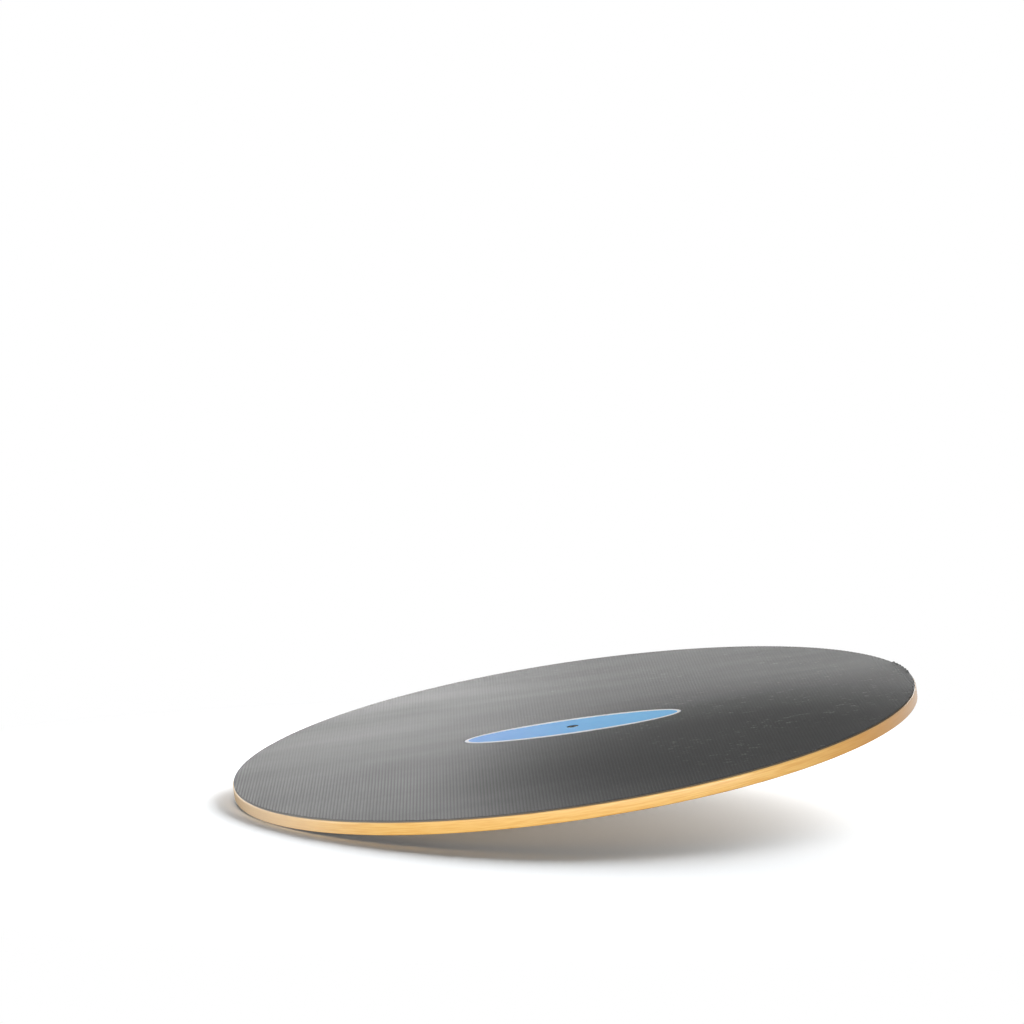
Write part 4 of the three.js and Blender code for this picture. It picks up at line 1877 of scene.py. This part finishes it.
class StudioSheet(NodeSheet):
    """The node tree of the floor or of the surroundings."""

    def ray(self, kind: str) -> Wire:
        """Returns 1 for what rays of this kind meet, and 0 for the others."""
        return self.node("ShaderNodeLightPath", {}, {}, f"Is {kind} Ray")


@dataclass
class Studio:
    """The plain white studio: floor, soft lamps, surroundings and camera."""

    azimuth: float = math.radians(-29.95)
    elevation: float = math.radians(7.13)
    distance: float = 4.267
    lens: float = 112.5
    sensor: float = 36.0
    image_size: float = 1024.0
    target_pixel: tuple[float, float] = (572.6, 725.95)
    floor_size: float = 60.0
    floor_drop: float = 0.4 * MM
    floor_white: tuple[float, float] = (0.12, 0.96)
    floor_tint: tuple[float, float, float] = (0.978, 1.0, 1.02)
    glow_reach: tuple[float, float] = (0.62, 1.15)
    ambient: float = 0.03
    sun_width: float = 50.0
    far_lamp: Lamp = Lamp("far_lamp", 130.0, 17.0, 0.7)
    floor_lamp: Lamp = Lamp("floor_lamp", 139.0, 17.0, 8.6)
    softboxes: tuple[Lamp, ...] = (
        Lamp("left_softbox", 214.0, 29.0, 5.6, 0.95, (0.8, 0.3)),
        Lamp("rear_softbox", 162.0, 30.0, 3.2, 1.05, (0.9, 0.22)),
        Lamp("front_softbox", 1.0, 1.9, 197.0, 3.4, (9.0, 0.2)),
        Lamp("end_softbox", -80.0, 2.4, 11.5, 2.0, (0.8, 0.13)),
    )
    under_size: float = 0.8
    under_power: float = 0.25
    under_height: float = 1.0 * MM

    def back(self) -> Vector:
        """Returns the direction from the board towards the camera, level part only."""
        return Vector((math.sin(self.azimuth), -math.cos(self.azimuth), 0.0))

    def towards(self, lamp: Lamp) -> Vector:
        """Finds the way from the board to a lamp.

        Args:
            lamp: The lamp.

        Returns:
            The direction.
        """
        flat = Matrix.Rotation(math.radians(lamp.around), 3, "Z") @ self.back()
        level = math.radians(lamp.height)
        return flat * math.cos(level) + Vector((0, 0, math.sin(level)))

    def camera(self) -> None:
        """Sets the camera where the photograph was taken from."""
        target = LEAN.matrix() @ Vector((0, 0, MAT_TOP))
        away = self.back() * math.cos(self.elevation) + Vector((0, 0, math.sin(self.elevation)))
        focal = self.lens / self.sensor * self.image_size
        right = self.target_pixel[0] - self.image_size / 2
        up = self.image_size / 2 - self.target_pixel[1]
        seen = Vector((right, up, focal)).normalized()
        pitch = math.asin(-away.z / math.hypot(seen.y, seen.z)) - math.atan2(seen.y, seen.z)
        ahead = -seen.y * math.sin(pitch) + seen.z * math.cos(pitch)
        heading = math.atan2(-away.y, -away.x) + math.atan2(seen.x, ahead)
        data = bpy.data.cameras.new("camera")
        data.lens, data.sensor_width = self.lens, self.sensor
        camera = linked("camera", data)
        camera.location = target + away * self.distance
        camera.rotation_euler = (math.pi / 2 + pitch, 0.0, heading - math.pi / 2)
        bpy.context.scene.camera = camera
        log.info("camera at %s", tuple(round(x, 3) for x in camera.location))

    def softbox(self, lamp: Lamp) -> None:
        """Hangs a softbox that faces the board.

        Args:
            lamp: Its place, size and power.
        """
        data = bpy.data.lights.new(lamp.name, "AREA")
        data.shape, data.energy = "RECTANGLE", lamp.power
        data.size, data.size_y = lamp.size
        item = linked(lamp.name, data)
        direction = self.towards(lamp)
        item.location = direction * lamp.reach
        item.rotation_euler = direction.to_track_quat("Z", "Y").to_euler()
        item.visible_camera = False

    def under_lamp(self) -> None:
        """Lays a dim lamp on the floor that shows the underside of the deck."""
        data = bpy.data.lights.new("under_lamp", "AREA")
        data.shape, data.size, data.energy = "DISK", self.under_size, self.under_power
        item = linked("under_lamp", data)
        item.location.z = self.under_height
        item.rotation_euler = (math.pi, 0.0, 0.0)
        item.visible_camera = item.visible_glossy = False

    def sun(self, lamp: Lamp, receivers: Optional[bpy.types.Collection] = None) -> None:
        """Adds a far lamp that lights the whole floor evenly.

        Args:
            lamp: Where it stands.
            receivers: What it lights, if not everything. All pieces still cast its shadow.
        """
        data = bpy.data.lights.new(lamp.name, "SUN")
        data.energy, data.angle = lamp.power, math.radians(self.sun_width)
        item = linked(lamp.name, data)
        item.rotation_euler = self.towards(lamp).to_track_quat("Z", "Y").to_euler()
        item.visible_glossy = False
        if receivers is not None:
            item.light_linking.receiver_collection = receivers

    def floor_paint(self) -> bpy.types.Material:
        """Makes the floor's finish: matt white near the board, glowing far off, clear from below.

        Returns:
            The material.
        """
        material = bpy.data.materials.new("studio_floor")
        sheet = StudioSheet(empty_tree(material))
        direct = sheet.ray("Camera")
        across, away, _ = sheet.node("ShaderNodeTexCoord", {}, {}, "Object").parts()
        distance = (across * across + away * away).root()
        far = distance.step(*self.glow_reach) * direct.at_least(sheet.ray("Glossy"))
        white = self.floor_white[0] + direct * self.floor_white[1]
        tint = {channel: white * share for channel, share in enumerate(self.floor_tint)}
        paint = sheet.node("ShaderNodeCombineColor", {}, tint)
        matt = sheet.node("ShaderNodeBsdfDiffuse", {}, {"Color": paint})
        glow = sheet.node("ShaderNodeEmission", {}, {"Color": (1, 1, 1, 1), "Strength": 1.0})
        mixed = sheet.node("ShaderNodeMixShader", {}, {0: far, 1: matt, 2: glow})
        below = sheet.node("ShaderNodeNewGeometry", {}, {}, "Backfacing")
        clear = sheet.node("ShaderNodeBsdfTransparent", {}, {})
        shown = sheet.node("ShaderNodeMixShader", {}, {0: below * direct, 1: mixed, 2: clear})
        sheet.add("ShaderNodeOutputMaterial", {}, {"Surface": shown})
        return material

    def floor(self) -> bpy.types.Collection:
        """Lays the white floor, which keeps the board's shadow.

        Returns:
            A collection that holds the floor alone, for the lamp that lights only the floor.
        """
        half = self.floor_size / 2
        mesh = bpy.data.meshes.new("floor")
        corners = [(-half, -half, 0), (half, -half, 0), (half, half, 0), (-half, half, 0)]
        mesh.from_pydata(corners, [], [(0, 1, 2, 3)])
        mesh.materials.append(self.floor_paint())
        floor = linked("floor", mesh)
        floor.location.z = -self.floor_drop
        alone = bpy.data.collections.new("floor_alone")
        alone.objects.link(floor)
        return alone

    def surroundings(self) -> None:
        """Makes everything round the floor white to the eye and a dim light to the board."""
        world = bpy.data.worlds.new("studio")
        bpy.context.scene.world = world
        sheet = StudioSheet(empty_tree(world))
        mirrored, through = sheet.ray("Glossy"), sheet.ray("Transmission")
        shown = sheet.ray("Camera").at_least(mirrored).at_least(through)
        strength = self.ambient + shown * (1 - self.ambient)
        sky = sheet.node("ShaderNodeBackground", {}, {"Color": (1, 1, 1, 1), "Strength": strength})
        sheet.add("ShaderNodeOutputWorld", {}, {"Surface": sky})

    def build(self) -> None:
        """Sets up the studio round the board."""
        self.camera()
        floor_alone = self.floor()
        self.surroundings()
        self.sun(self.far_lamp)
        self.sun(self.floor_lamp, floor_alone)
        self.under_lamp()
        for lamp in self.softboxes:
            self.softbox(lamp)
        bpy.context.scene.view_settings.view_transform = "Standard"


def main() -> None:
    """Builds the board and the studio, and reports each piece."""
    logging.basicConfig(level=logging.INFO, format="%(name)s: %(message)s")
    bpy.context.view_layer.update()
    board = (Deck(), RibbedMat(), Label(), CentreBolt(), Hub(), HalfBall(), Tread(), WiperRing())
    for assembly in (*board, Hardware(), Studio()):
        assembly.build()


if __name__ == "__main__":
    main()
